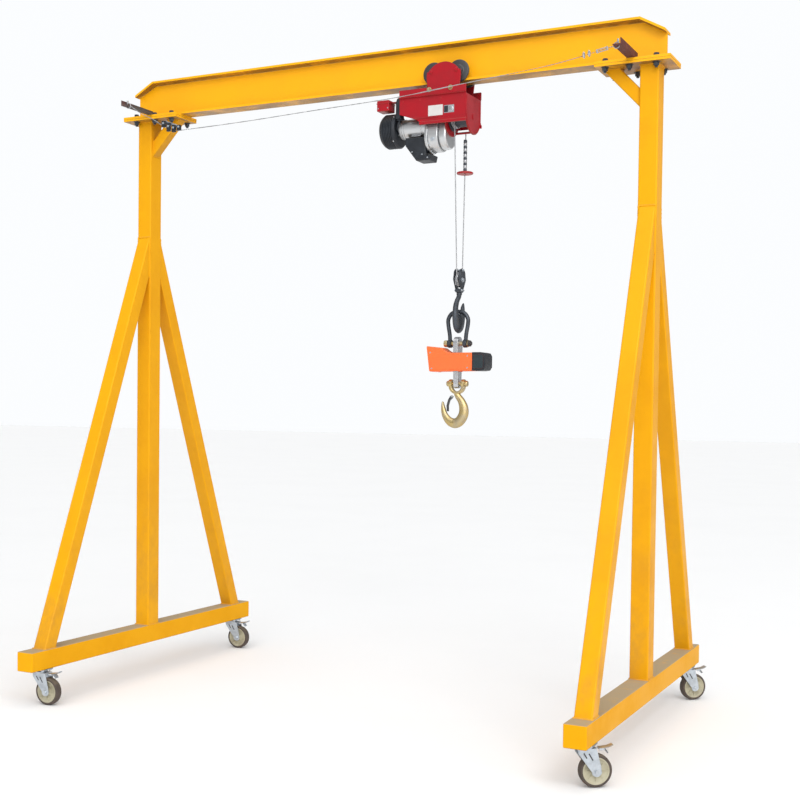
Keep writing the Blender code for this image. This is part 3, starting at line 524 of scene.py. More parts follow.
def layered(name, base, second, roughness=0.4, metallic=0.0, mottle=(6.0, 0.4), grain=(250, 2e-4),
            dust=0.0, chips=None, grime=None, coat=0.0, spread=0.15, below=0.0, gloss=0.5):
    """A finish: mottled base, chips, grime, painted shade on downward faces, dust and grain over
    one Principled shader.
    """
    found = bpy.data.materials.get(name)
    if found:
        return found
    paint = bpy.data.materials.new(name)
    paint.use_nodes = True
    tree = paint.node_tree
    shader = tree.nodes["Principled BSDF"]
    colours = palette()
    # each effect: its group, how much it roughens, its colour and its own settings
    effects = [("Mottle", spread, second, {"Scale": mottle[0], "Amount": mottle[1]})]
    if chips:
        effects.append(("Chips", 0.2, chips[0], {"Scale": chips[1], "Amount": chips[2]}))
    if grime:
        effects.append(("Grime", 0.35, grime[0], {"Height": grime[1], "Amount": grime[2]}))
    # below: how strongly the painted shade darkens the faces that look down.
    if below:
        effects.append(("UnderShade", 0, colours.underside_shade, {"Amount": below}))
    if dust:
        effects.append(("Dust", 0.4, colours.dust, {"Amount": dust}))
    tint, rough = (*base, 1), roughness
    for effect, roughening, colour_over, settings in effects:
        layer = use_group(tree, effect, {"Colour": tint, "Second": (*colour_over, 1), **settings})
        tint = layer.outputs["Colour"]
        if roughening:
            rough = times(tree, rough, times(tree, layer.outputs["Mask"], roughening), 'ADD')
    skin = use_group(tree, "Grain", {"Scale": grain[0], "Depth": grain[1]})
    tree.links.new(tint, shader.inputs["Base Color"])
    tree.links.new(rough, shader.inputs["Roughness"])
    tree.links.new(skin.outputs["Normal"], shader.inputs["Normal"])
    shader.inputs["Metallic"].default_value = metallic
    shader.inputs["Specular IOR Level"].default_value = gloss
    shader.inputs["Coat Weight"].default_value = coat
    shader.inputs["Coat Roughness"].default_value = 0.15
    return paint


# ---------------------------------------------------------------- finishes
def shade(base, factor):
    return tuple(min(1.0, channel * factor) for channel in base)


def yellow_enamel():
    """Sprayed enamel of the legs: thin patches, chips, stains low down, and painted shade
    underneath.
    """
    colours = palette()
    return layered("yellow_enamel", colours.yellow, colours.yellow_deep, 0.36, mottle=(2.3, 0.55),
                   grain=(420, 1.2e-4), dust=0.35, chips=((0.26, 0.1, 0.02), 55.0, 0.2),
                   grime=((0.36, 0.17, 0.05), 1.5, 0.5), below=0.35, gloss=0.15)


def brightened_beam_enamel():
    """The beam's enamel: painted light makes it brighter than the legs, and painted shade browns
    it under its flanges.
    """
    colours = palette()
    # Painted light: the legs' yellow made 1.18 times brighter, lifting the web that the top flange
    # shades.
    return layered("brightened_beam_enamel", shade(colours.yellow, 1.18), colours.yellow, 0.33,
                   mottle=(1.6, 0.5), grain=(420, 1.2e-4), dust=0.6,
                   chips=((0.26, 0.1, 0.02), 40.0, 0.14), below=0.85, gloss=0.3)


def foot_enamel():
    """The foot beams' enamel, under a thick grey dust on top."""
    colours = palette()
    return layered("foot_enamel", colours.yellow, colours.yellow_deep, 0.44, mottle=(3.0, 0.4),
                   grain=(420, 1.2e-4), dust=1.1, chips=((0.26, 0.1, 0.02), 60.0, 0.22),
                   below=0.5, gloss=0.08)


def red_enamel():
    colours = palette()
    return layered("red_enamel", colours.red, shade(colours.red, 0.66), 0.34, mottle=(9.0, 0.5),
                   grain=(600, 1e-4), dust=0.25, chips=((0.3, 0.05, 0.04), 90.0, 0.12),
                   below=0.3, gloss=0.35)


def red_oxide():
    colours = palette()
    return layered("red_oxide", colours.primer, shade(colours.primer, 0.5), 0.62,
                   mottle=(14.0, 0.6), grain=(300, 3e-4), dust=0.3)


def grey_paint():
    colours = palette()
    return layered("grey_paint", colours.grey_paint, colours.primer, 0.6, mottle=(8.0, 0.8),
                   grain=(300, 3e-4), dust=0.3)


def orange_enamel():
    colours = palette()
    return layered("orange_enamel", colours.orange, shade(colours.orange, 0.82), 0.42,
                   mottle=(12.0, 0.4), grain=(520, 2.5e-4), dust=0.15,
                   chips=((0.35, 0.3, 0.27), 80.0, 0.1))


def bright_zinc():
    colours = palette()
    return layered("bright_zinc", colours.zinc, shade(colours.zinc, 0.62), 0.3, 0.9,
                   mottle=(30.0, 0.55), grain=(700, 8e-5), dust=0.25)


def gold_zinc():
    colours = palette()
    return layered("gold_zinc", colours.gold_zinc, (0.42, 0.38, 0.3), 0.34, 0.85,
                   mottle=(22.0, 0.6), grain=(350, 2.5e-4))


def forged_steel():
    colours = palette()
    return layered("forged_steel", colours.forged, shade(colours.forged, 0.45), 0.4, 0.7,
                   mottle=(24.0, 0.6), grain=(300, 3.5e-4), chips=((0.3, 0.29, 0.28), 70.0, 0.2))


def machined_steel():
    colours = palette()
    return layered("machined_steel", colours.steel, shade(colours.steel, 0.7), 0.26, 0.95,
                   mottle=(26.0, 0.5), grain=(900, 6e-5))


def cast_aluminium():
    colours = palette()
    return layered("cast_aluminium", colours.cast, shade(colours.cast, 0.7), 0.38, 0.85,
                   mottle=(20.0, 0.4), grain=(480, 3e-4), dust=0.2)


def black_moulding():
    colours = palette()
    return layered("black_moulding", colours.black, shade(colours.black, 2.2), 0.44,
                   mottle=(18.0, 0.4), grain=(1100, 1.5e-4), dust=0.12, gloss=0.4)


def black_steel():
    colours = palette()
    return layered("black_steel", shade(colours.black, 1.3), (0.1, 0.1, 0.1), 0.42, 0.5,
                   mottle=(26.0, 0.6), grain=(500, 1.5e-4), dust=0.15)


def tyre_rubber():
    colours = palette()
    return layered("tyre_rubber", colours.tread, shade(colours.tread, 1.9), 0.72,
                   mottle=(30.0, 0.6), grain=(600, 2e-4), dust=0.25)


def wheel_core():
    colours = palette()
    return layered("wheel_core", colours.core, (0.26, 0.23, 0.15), 0.5, mottle=(16.0, 0.7),
                   grain=(400, 1.5e-4), chips=((0.12, 0.1, 0.07), 60.0, 0.2))


def bare_wire():
    colours = palette()
    return layered("bare_wire", shade(colours.steel, 0.75), shade(colours.steel, 0.45), 0.38, 0.9,
                   mottle=(60.0, 0.5), grain=(900, 1e-4))


def blank_label():
    return layered("blank_label", (0.62, 0.6, 0.58), (0.5, 0.47, 0.45), 0.35,
                   mottle=(40.0, 0.4), grain=(900, 3e-5))


def grey_label():
    return layered("grey_label", (0.3, 0.31, 0.33), (0.2, 0.2, 0.22), 0.4,
                   mottle=(40.0, 0.4), grain=(900, 3e-5))


def dark_glass():
    return layered("dark_glass", (0.022, 0.036, 0.042), (0.014, 0.02, 0.028), 0.16,
                   mottle=(14.0, 0.6), grain=(200, 1e-5), coat=0.3, spread=0.05)


def rim_red():
    """The red-brown seal round the display."""
    return layered("rim_red", (0.05, 0.014, 0.014), (0.03, 0.01, 0.01), 0.5,
                   mottle=(30.0, 0.4), grain=(900, 5e-5))


# ---------------------------------------------------------------- stage
class GANTRY_OT_stage(bpy.types.Operator):
    """Pale floor and backdrop, soft studio lights, and the camera"""
    bl_idname = "gantry.stage"
    bl_label = "Stage"

    def execute(self, context):
        sizes = context.scene.gantry_sizes
        grey = palette().floor
        paint = layered("studio_floor", grey, shade(grey, 0.96), 0.85,
                        mottle=(0.6, 0.3), grain=(120, 1e-4), spread=0.02)
        floor = bpy.data.meshes.new("floor")
        bm = bmesh.new()
        bmesh.ops.create_grid(bm, x_segments=1, y_segments=1, size=60)
        bm.to_mesh(floor)
        bm.free()
        floor.materials.append(paint)
        ground = bpy.data.objects.new("floor", floor)
        context.collection.objects.link(ground)

        world = bpy.data.worlds.new("studio")
        context.scene.world = world
        world.use_nodes = True
        tree = world.node_tree
        background = tree.nodes["Background"]
        background.inputs["Color"].default_value = (0.97, 0.985, 1.0, 1)
        seen = tree.nodes.new('ShaderNodeLightPath')
        level = tree.nodes.new('ShaderNodeMapRange')
        level.inputs["To Min"].default_value = sizes.sky_light
        level.inputs["To Max"].default_value = 1.0
        tree.links.new(seen.outputs["Is Camera Ray"], level.inputs["Value"])
        tree.links.new(level.outputs["Result"], background.inputs["Strength"])
        lit_point = Vector((0, 0, 1.9))
        for name, place, kind, spread, power in (
                ("ceiling", (1.0, -2.0, 8.0), 'SUN', math.radians(70), 1.5),
                ("front", (3.0, -8.0, 4.4), 'SUN', math.radians(50), 1.25),
                ("side", (9.0, -1.0, 4.2), 'SUN', math.radians(40), 0.5),
                ("key", (5.0, -5.0, 6.0), 'AREA', 3.0, 130)):
            lamp = bpy.data.lights.new(name, kind)
            if kind == 'SUN':
                lamp.angle = spread
            else:
                lamp.size = spread
            lamp.energy = power
            holder = bpy.data.objects.new(name, lamp)
            aim = lit_point - Vector(place)
            holder.matrix_world = (Matrix.Translation(place)
                                   @ aim.to_track_quat('-Z', 'Y').to_matrix().to_4x4())
            context.collection.objects.link(holder)

        lens = bpy.data.cameras.new("camera")
        lens.lens = 55.9                    # millimetres, on a frame 36 wide
        lens.sensor_width = 36
        lens.shift_x = 0.0238
        lens.shift_y = 0.055
        lens.clip_end = 200
        stand = Vector((2.988, -5.771, sizes.camera_height))
        yaw, pitch, roll = (math.radians(a) for a in (26.945, -1.6855, 0.682))
        right = Vector((math.cos(yaw), math.sin(yaw), 0))
        ahead = Vector((-math.sin(yaw) * math.cos(pitch), math.cos(yaw) * math.cos(pitch),
                        math.sin(pitch)))
        above = right.cross(ahead)
        turned = Matrix((math.cos(roll) * right + math.sin(roll) * above,
                         math.cos(roll) * above - math.sin(roll) * right,
                         -ahead)).transposed().to_4x4()
        camera = bpy.data.objects.new("camera", lens)
        camera.matrix_world = Matrix.Translation(stand) @ turned
        context.collection.objects.link(camera)
        context.scene.camera = camera
        context.scene.view_settings.view_transform = 'Standard'
        return {'FINISHED'}


# ---------------------------------------------------------------- steel frame
FRAME_TUBES = [name % side for side in SIDES for name in (
    "foot_beam_%s", "column_%s", "brace_%s_front", "brace_%s_back", "knee_brace_%s")]


class GANTRY_OT_tubes(bpy.types.Operator):
    """Foot beams, columns, braces and knee braces with rounded tube corners"""
    bl_idname = "gantry.tubes"
    bl_label = "Tubes"

    def execute(self, context):
        corner = context.scene.gantry_sizes.tube_corner
        for node in FRAME_TUBES:
            bm = from_cad(node)
            if not node.startswith("foot"):
                shortest = 0.12 if node.startswith("knee") else 0.5
                soften(bm, corner, 4, lambda edge: edge.calc_length() > shortest)
            paint = foot_enamel() if node.startswith("foot") else yellow_enamel()
            shell(node, bm, paint, "frame")
        return {'FINISHED'}


class GANTRY_OT_beam(bpy.types.Operator):
    """The rolled beam with its root fillets, and the plates at its two ends"""
    bl_idname = "gantry.beam"
    bl_label = "Beam and plates"

    def execute(self, context):
        bm = from_cad("i_beam")
        roots = [e for e in bm.edges if len(e.link_faces) == 2 and not e.is_convex
                 and e.calc_length() > 2.0 and abs(e.verts[0].co.y) < 0.01]
        bmesh.ops.bevel(bm, geom=roots, offset=0.009, segments=4, profile=0.5,
                        affect='EDGES', material=-1, clamp_overlap=True)
        soften(bm, 0.0016, 2, lambda edge: edge.calc_length() > 0.05)
        shell("i_beam", bm, brightened_beam_enamel(), "frame")
        for side in SIDES:
            node = "column_plate_" + side
            shell(node, soften(from_cad(node), 0.0015), brightened_beam_enamel(), "frame")
        return {'FINISHED'}


def bead(corners, radius, seed):
    """A weld bead along a closed loop of corners, with its ripples."""
    path = []
    for first, second in zip(corners, corners[1:] + corners[:1]):
        start, stop = Vector(first), Vector(second)
        steps = max(2, int((stop - start).length / 0.006))
        path += [start.lerp(stop, i / steps) for i in range(steps)]
    chance = random.Random(seed)
    sizes = []
    for i in range(len(path)):
        swell = radius * (1 + 0.1 * math.sin(i * 2.1) + chance.uniform(-0.12, 0.12))
        sizes.append((swell, swell))
    return swept(path, sizes, 6, closed=True)


def rectangle(first, second, place):
    """A rectangle's corners between two pairs of limits; place puts a corner in space."""
    return [place(a, b) for a, b in ((first[0], second[0]), (first[1], second[0]),
                                     (first[1], second[1]), (first[0], second[1]))]


class GANTRY_OT_welds(bpy.types.Operator):
    """Weld beads where the tubes and plates of the frame meet"""
    bl_idname = "gantry.welds"
    bl_label = "Welds"

    def execute(self, context):
        radius = context.scene.gantry_sizes.weld_leg
        for side, sign in SIDES.items():
            parts = []
            column_low, column_high = low_of("column_" + side), high_of("column_" + side)
            for z in (column_low.z, column_high.z):
                parts.append(bead(rectangle((column_low.x, column_high.x),
                                            (column_low.y, column_high.y),
                                            lambda x, y: (x, y, z)), radius, int(z * 100)))
            for end, way in (("front", -1), ("back", 1)):
                node = "brace_%s_%s" % (side, end)
                low, high = low_of(node), high_of(node)
                ring = [v.co for v in NODES[node].data.vertices]
                foot = [v.y * way for v in ring if v.z < low.z + 0.001]
                head = [v.z for v in ring if v.y * way < min(p.y * way for p in ring) + 0.001]
                inner, outer = min(foot), max(foot)
                parts.append(bead(rectangle((low.x, high.x), (way * inner, way * outer),
                                            lambda x, y: (x, y, low.z)), radius, 3))
                face = column_low.y if way < 0 else column_high.y
                parts.append(bead(rectangle((low.x, high.x), (min(head), max(head)),
                                            lambda x, z: (x, face, z)), radius, 4))
            node = "knee_brace_" + side
            low, high = low_of(node), high_of(node)
            ring = [v.co for v in NODES[node].data.vertices]
            face = column_low.x if sign > 0 else column_high.x
            foot = [v.z for v in ring if abs(v.x - face) < 0.002]
            head = [v.x for v in ring if v.z > high.z - 0.001]
            thin = radius * 0.8
            parts.append(bead(rectangle((low.y, high.y), (min(foot), max(foot)),
                                        lambda y, z: (face, y, z)), thin, 5))
            parts.append(bead(rectangle((min(head), max(head)), (low.y, high.y),
                                        lambda x, y: (x, y, high.z)), thin, 6))
            piece("welds_" + side, merged(parts), yellow_enamel(), "frame", angle=60)
        return {'FINISHED'}


class GANTRY_OT_plate_bolts(bpy.types.Operator):
    """Six bolts through each pair of plates, heads above and nuts below"""
    bl_idname = "gantry.plate_bolts"
    bl_label = "Plate bolts"

    def execute(self, context):
        across = context.scene.gantry_sizes.plate_bolt
        for side, sign in SIDES.items():
            low, high = low_of("column_plate_" + side), high_of("column_plate_" + side)
            upper_plate = 0.0128
            top = high.z + upper_plate
            inner = low.x if sign > 0 else high.x
            parts = []
            for step in (0.046, 0.162, 0.288):
                for y in (-0.074, 0.074):
                    x = inner + sign * step
                    parts += bolt((x, y, top), UP, across, 0)
                    parts += bolt((x, y, low.z), -UP, across, 1, tail=0.012)
            piece("plate_bolts_" + side, merged(parts), [black_steel(), forged_steel()], "frame")
        return {'FINISHED'}


# ---------------------------------------------------------------- festoon wire
def wire_route():
    """The slack wire's route between the arms, as it hangs."""
    hang = low_of("i_beam").z + 0.012    # the beam's underside, above the plate welded to it
    end = high_of("festoon_wire").x
    return [(-end, 0.0025), (-1.29, -0.04), (-1.2, -0.085), (-1.125, -0.13),
            (-1.07, -0.156), (-0.95, -0.158), (-0.6, -0.15), (-0.2, -0.134),
            (0.25, -0.117), (0.6, -0.088), (0.88, -0.065), (1.05, -0.049),
            (1.18, -0.03), (end, 0.0025)], hang


def along_wire(x):
    """The wire's centre at a distance along the beam."""
    route, hang = wire_route()
    line = middle("festoon_wire").y
    for (x0, z0), (x1, z1) in zip(route, route[1:]):
        if x0 <= x <= x1:
            share = (x - x0) / (x1 - x0)
            return Vector((x, line, hang + z0 + (z1 - z0) * share))
    return Vector((x, line, hang))


def wire_clip(place, run, slot=1):
    """A saddle, a U-bolt and its two nuts, which grip two parts of the wire."""
    parts = [slab((0.013, 0.017, 0.01), towards(place, run), 0.002, slot=slot)]
    for step in (-0.006, 0.006):
        spot = Vector(place) + Vector((0, step, 0))
        parts.append(lathe(rod(0.0022, -0.012, 0.016),
                           towards(spot, UP), 12, slot))
        parts.append(hex_head(0.0085, 0.005, towards(spot + Vector((0, 0, 0.0055)), UP), slot))
    return parts


class GANTRY_OT_festoon(bpy.types.Operator):
    """Wire arms, the slack wire between them, its clips, turnbuckle and cable clamps"""
    bl_idname = "gantry.festoon"
    bl_label = "Festoon wire"

    def execute(self, context):
        radius = context.scene.gantry_sizes.festoon / 2
        for side, paint in (("right", red_oxide()), ("left", grey_paint())):
            node = "wire_arm_" + side
            shell(node, soften(from_cad(node), 0.0012), paint, "frame")
        route, hang = wire_route()
        line = middle("festoon_wire").y
        path = smooth_path([(x, line, hang + z) for x, z in route], 14)
        parts = [swept(path, (radius * 0.62, radius), 8, turn=260.0)]
        piece("slack_wire", merged(parts), bare_wire(), "frame", ["festoon_wire"])

        parts = []
        for side, sign in SIDES.items():
            node = "wire_arm_" + side
            near = high_of(node).x if sign < 0 else low_of(node).x
            eye = Vector((near + sign * 0.012, line, high_of("festoon_wire").z))
            ring = [eye + Vector((0.013 * math.cos(a), 0, 0.013 * math.sin(a)))
                    for a in (math.tau * i / 24 for i in range(24))]
            parts.append(swept(ring, (0.0028, 0.0028), 8, closed=True))
            parts.append(lathe(rod(0.005, -0.004, 0.012),
                               towards(eye + Vector((sign * 0.006, 0, 0.016)), UP), 16))
        for x in (1.215, 1.24):
            spot = along_wire(x)
            parts += wire_clip(spot, along_wire(x + 0.02) - spot, 0)
        body = along_wire(1.3)
        run = along_wire(1.32) - along_wire(1.29)
        frame_of = towards(body, run)
        for step in (-0.006, 0.006):
            bar = frame_of @ at(0, step, 0)
            parts.append(lathe(rod(0.0022, -0.024, 0.024),
                               bar, 10))
        for step in (-0.024, 0.024):
            parts.append(slab((0.008, 0.017, 0.008), frame_of @ at(0, 0, step),
                              0.0015))
        piece("wire_fittings", merged(parts), bare_wire(), "frame")

        parts = []
        for x, drop, tall in ((-1.128, 0.0, 0.034), (-1.096, 0.004, 0.046),
                              (-1.062, 0.002, 0.038), (-1.028, 0.0, 0.03)):
            spot = along_wire(x) + Vector((0, 0, 0.012 - drop))
            parts.append(slab((0.022, 0.016, tall), Matrix.Translation(spot), 0.003,
                              slot=int(x * 1000) % 2))
            parts += bolt(spot + Vector((0, -0.008, 0.004)), (0, -1, 0), 0.008, 1)
        spot = along_wire(-1.08) + Vector((0, 0, 0.03))
        parts.append(slab((0.11, 0.004, 0.016), Matrix.Translation(spot + Vector((0, 0.01, 0)))
                          @ Matrix.Rotation(0.35, 4, 'Y'), 0.001, slot=1))
        piece("cable_clamps", merged(parts), [black_moulding(), bright_zinc()], "frame")
        return {'FINISHED'}


# ---------------------------------------------------------------- castors
AXLE_X, AXLE_Z = 0.05, 0.07    # a castor's axle in its own frame


def castor_frame(place):
    """A castor's own frame: Z up its swivel, X towards its wheel."""
    x, y = joint("swivel_" + place)["pos_m"][:2]
    axis = joint("roll_" + place)["axis"]
    turn = math.atan2(-axis[0], axis[1])
    return at(x, y, 0) @ Matrix.Rotation(turn, 4, 'Z')


def axle_line(base):
    """The direction of a castor's axle."""
    return base.to_3x3() @ ACROSS


def castor_plate(place):
    """Top plate with its bolts, and the upper half of the ball race."""
    top = high_of("castor_plate_" + place).z
    x, y = joint("swivel_" + place)["pos_m"][:2]
    flat = at(x, y, top - 0.0025)
    corners = []
    for cx, cy, start in ((0.038, 0.0305, 0), (-0.038, 0.0305, 90), (-0.038, -0.0305, 180),
                          (0.038, -0.0305, 270)):
        corners += arc((cx, cy), 0.012, start, start + 90, 5)
    parts = [extruded(corners, 0.005, flat, 0.0008, 1)]
    for cx in (-0.036, 0.036):
        for cy in (-0.029, 0.029):
            parts += bolt((x + cx, y + cy, top - 0.005), -UP, 0.013)
    parts.append(lathe([(0, -0.001), (0.03, -0.001), (0.033, -0.0035), (0.033, -0.005),
                        (0.03, -0.0075), (0.024, -0.0115), (0.0062, -0.0115),
                        (0.0062, -0.03), (0, -0.03)],
                       at(x, y, top - 0.0035), 48))
    piece("castor_top_" + place, merged(parts), bright_zinc(), "frame",
          ["castor_plate_" + place])


def castor_fork(place, steps):
    """Pressed fork: a dished crown, two tapered cheeks with dark strips for slots, and the axle.
    """
    base = castor_frame(place)
    crown = high_of("castor_fork_" + place).z
    parts = [lathe([(0.0068, -0.0165), (0.024, -0.0165), (0.03, -0.012), (0.0345, -0.005),
                    (0.0345, -0.0012), (0.033, 0), (0.031, 0), (0.03, -0.003),
                    (0.0068, -0.003)], base @ at(0, 0, crown), steps)]
    cheek = [(-0.033, crown - 0.006), (-0.0275, crown - 0.028), (AXLE_X - 0.02, AXLE_Z - 0.002)]
    cheek += arc((AXLE_X, AXLE_Z), 0.02, 186, 350, 10)
    cheek += [(AXLE_X + 0.015, AXLE_Z + 0.03), (0.053, crown - 0.024), (0.049, crown - 0.006)]
    for end in WAYS:
        face = base @ at(0, end * 0.0263, 0) @ FACING_Y
        parts.append(extruded(cheek, 0.0034, face, 0.001, 2))
        rim = [Vector((x, end * 0.0275, z)) for x, z in cheek[2:-2]]
        rim = [base @ p for p in smooth_path(rim, 2)]
        parts.append(swept(rim, (0.0016, 0.0016), 8))
        # Painted shade: dark steel strips on the cheeks stand where the slots' holes would show
        # shade.
        for x, z, tall in ((0.0, crown - 0.034, 0.026), (0.024, crown - 0.04, 0.034)):
            lean = Matrix.Rotation(-0.55, 4, 'Y')
            spot = base @ at(x, end * 0.0281, z) @ lean
            parts.append(slab((0.0055, 0.0006, tall), spot, 0.0002, 1, slot=1))
        hub = towards(base @ Vector((AXLE_X, end * 0.0278, AXLE_Z)), base.to_3x3()
                      @ Vector((0, end, 0)))
        parts.append(washer(0.0115, 0.0016, hub))
        parts.append(hex_head(0.015, 0.0062, hub @ at(0, 0, 0.0014)))
    bridge = base @ at(0.0085, 0, crown - 0.0075)
    parts.append(slab((0.083, 0.0545, 0.005), bridge, 0.002, 2))
    parts.append(lathe(rod(0.0052, -0.026, 0.026),
                       towards(base @ Vector((AXLE_X, 0, AXLE_Z)), axle_line(base)), 20))
    piece("castor_bracket_" + place, merged(parts), [bright_zinc(), black_steel()],
          "castor_" + place, ["castor_fork_" + place])


def castor_wheel(place, steps):
    """Thin tread on a cream core with a dished web, ribs and a bearing hub."""
    base = castor_frame(place)
    hub = towards(base @ Vector((AXLE_X, 0, AXLE_Z)), axle_line(base))
    half = 0.0195
    tread = mirrored([(0.057, -half + 0.0005), (0.064, -half), (0.0675, -half + 0.0025),
                      (0.0692, -half + 0.0065), (0.07, -half + 0.013)])
    core = mirrored([(0.016, -half + 0.001), (0.0175, -half + 0.001), (0.019, -half + 0.0055),
                     (0.026, -half + 0.009), (0.044, -half + 0.008),
                     (0.0505, -half + 0.003), (0.053, -half + 0.0005),
                     (0.0568, -half + 0.0005)])
    bearing = mirrored([(0.0058, -half - 0.002), (0.01, -half - 0.002),
                        (0.0105, -half + 0.001), (0.0158, -half + 0.0015)])
    parts = [lathe(tread, hub, steps, 0), lathe(core, hub, steps, 1),
             lathe(bearing, hub, 32, 2)]
    for i in range(8):
        turn = Matrix.Rotation(math.tau * i / 8, 4, 'Z')
        for end in WAYS:
            spot = hub @ turn @ at(0.0345, 0, end * (half - 0.0075))
            parts.append(slab((0.032, 0.0022, 0.006), spot, 0.0006, 1, slot=1))
    piece("castor_tyre_" + place, merged(parts), [tyre_rubber(), wheel_core(), bright_zinc()],
          "wheel_" + place, ["castor_wheel_" + place])


def castor_pedal(place):
    """Brake pedal: an upper tread to press and a shorter lower one to lift."""
    base = castor_frame(place)
    pivot = joint("brake_" + place)["pos_m"][2]
    face = base @ FACING_Y
    upper = [Vector((0.06, 0, pivot + 0.004)), Vector((0.08, 0, pivot + 0.006)),
             Vector((0.104, 0, pivot + 0.009)), Vector((0.1225, 0, pivot + 0.017))]
    lower = [Vector((0.086, 0, pivot + 0.002)), Vector((0.094, 0, pivot - 0.006)),
             Vector((0.1015, 0, pivot - 0.016))]
    parts = []
    for prong, wide in ((upper, 0.02), (lower, 0.017)):
        path = [base @ p for p in smooth_path(prong, 6)]
        strip = []
        for i in range(len(path)):
            swell = math.sin(math.pi * i / (len(path) - 1))
            strip.append((0.0032, wide * (0.85 + 0.15 * swell)))
        parts.append(swept(path, strip, 16, flat=axle_line(base)))
    cam = [(0.059, pivot - 0.002), (0.065, pivot + 0.006), (0.08, pivot + 0.006),
           (0.086, pivot - 0.001), (0.07, pivot - 0.0035)]
    for end in WAYS:
        parts.append(extruded(cam, 0.003, face @ at(0, 0, end * 0.018),
                              0.0008, 1))
    for i in range(4):
        spot = base @ at(0.086 + 0.006 * i, 0, pivot + 0.0083 + 0.0012 * i)
        parts.append(slab((0.0018, 0.024, 0.0016), spot, 0.0005, 1))
    piece("brake_lever_" + place, merged(parts), bright_zinc(), "pedal_" + place,
          ["castor_pedal_" + place])


class GANTRY_OT_castors(bpy.types.Operator):
    """Four swivel castors: plate, fork, wheel and brake pedal"""
    bl_idname = "gantry.castors"
    bl_label = "Castors"

    def execute(self, context):
        steps = context.scene.gantry_sizes.round_steps
        for place in PLACES:
            castor_plate(place)
            castor_fork(place, steps)
            castor_wheel(place, steps)
            castor_pedal(place)
        return {'FINISHED'}


# ---------------------------------------------------------------- trolley
class GANTRY_OT_trolley(bpy.types.Operator):
    """Side plates, flanged wheels with worn treads, axle nuts and tie bolts"""
    bl_idname = "gantry.trolley"
    bl_label = "Trolley"

    def execute(self, context):
        steps = context.scene.gantry_sizes.round_steps
        plate_face, plate_inside, nut_face = 0.0927, 0.084, 0.1032    # off the beam's middle plane
        beam_depth, flange_rise, play = 0.2, 0.0114, 0.0003
        for end, way in (("front", -1), ("back", 1)):
            node = "trolley_plate_" + end
            bm = soften(from_cad(node), 0.0012, 2, lambda e: e.calc_length() > 0.004
                        and max(abs(v.co.y) for v in e.verts) > plate_inside)
            shell(node, bm, red_enamel(), "trolley")
            parts = []
            for side in SIDES:
                hub = Vector(joint("trolley_roll_%s_%s" % (end, side))["pos_m"])
                hub.y = way * plate_face
                parts += [washer(0.0125, 0.0016, towards(hub, (0, way, 0)), 1),
                          hex_head(0.015, 0.005, towards(hub, (0, way, 0)), 1)]
                wheel = "trolley_wheel_%s_%s" % (end, side)
                axle = Vector((hub.x, 0, hub.z))
                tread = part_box(wheel)
                rim = (tread[1][2] - tread[0][2]) / 2
                run = high_of("i_beam").z - beam_depth + flange_rise
                roll = hub.z - run - play
                profile = [(0.0085, 0.019), (roll - 0.0045, 0.019), (roll - 0.001, 0.0205),
                           (roll, 0.023), (roll, 0.0495), (roll + 0.0015, 0.0512),
                           (rim - 0.003, 0.053), (rim - 0.0006, 0.0545), (rim, 0.056),
                           (rim, 0.062), (rim - 0.001, 0.0635), (0.05, 0.0665),
                           (0.033, 0.067), (0.03, 0.069), (0.027, 0.0715),
                           (0.027, 0.082), (0.0255, 0.083), (0.0085, 0.083)]
                bm = lathe(profile, towards(axle, (0, way, 0)), steps)
                for f in bm.faces:
                    off = f.calc_center_median() - axle
                    f.material_index = int(0.02 < abs(off.y) < 0.0505
                                           and math.hypot(off.x, off.z) > roll - 0.004)
                shell(wheel, bm, [black_steel(), machined_steel()], wheel)
            for side in SIDES:
                spot = middle("tie_bolt_" + side)
                spot.y = way * nut_face
                parts += bolt(spot, (0, way, 0), 0.016, 0, tail=0.007)
            piece("trolley_nuts_" + end, merged(parts), [gold_zinc(), red_enamel()], "trolley")
        for side in SIDES:
            node = "tie_bolt_" + side
            bar = lathe(rod(0.0058, -0.11, 0.11), towards(middle(node), ACROSS), 24)
            shell(node, bar, machined_steel(), "trolley")
        return {'FINISHED'}


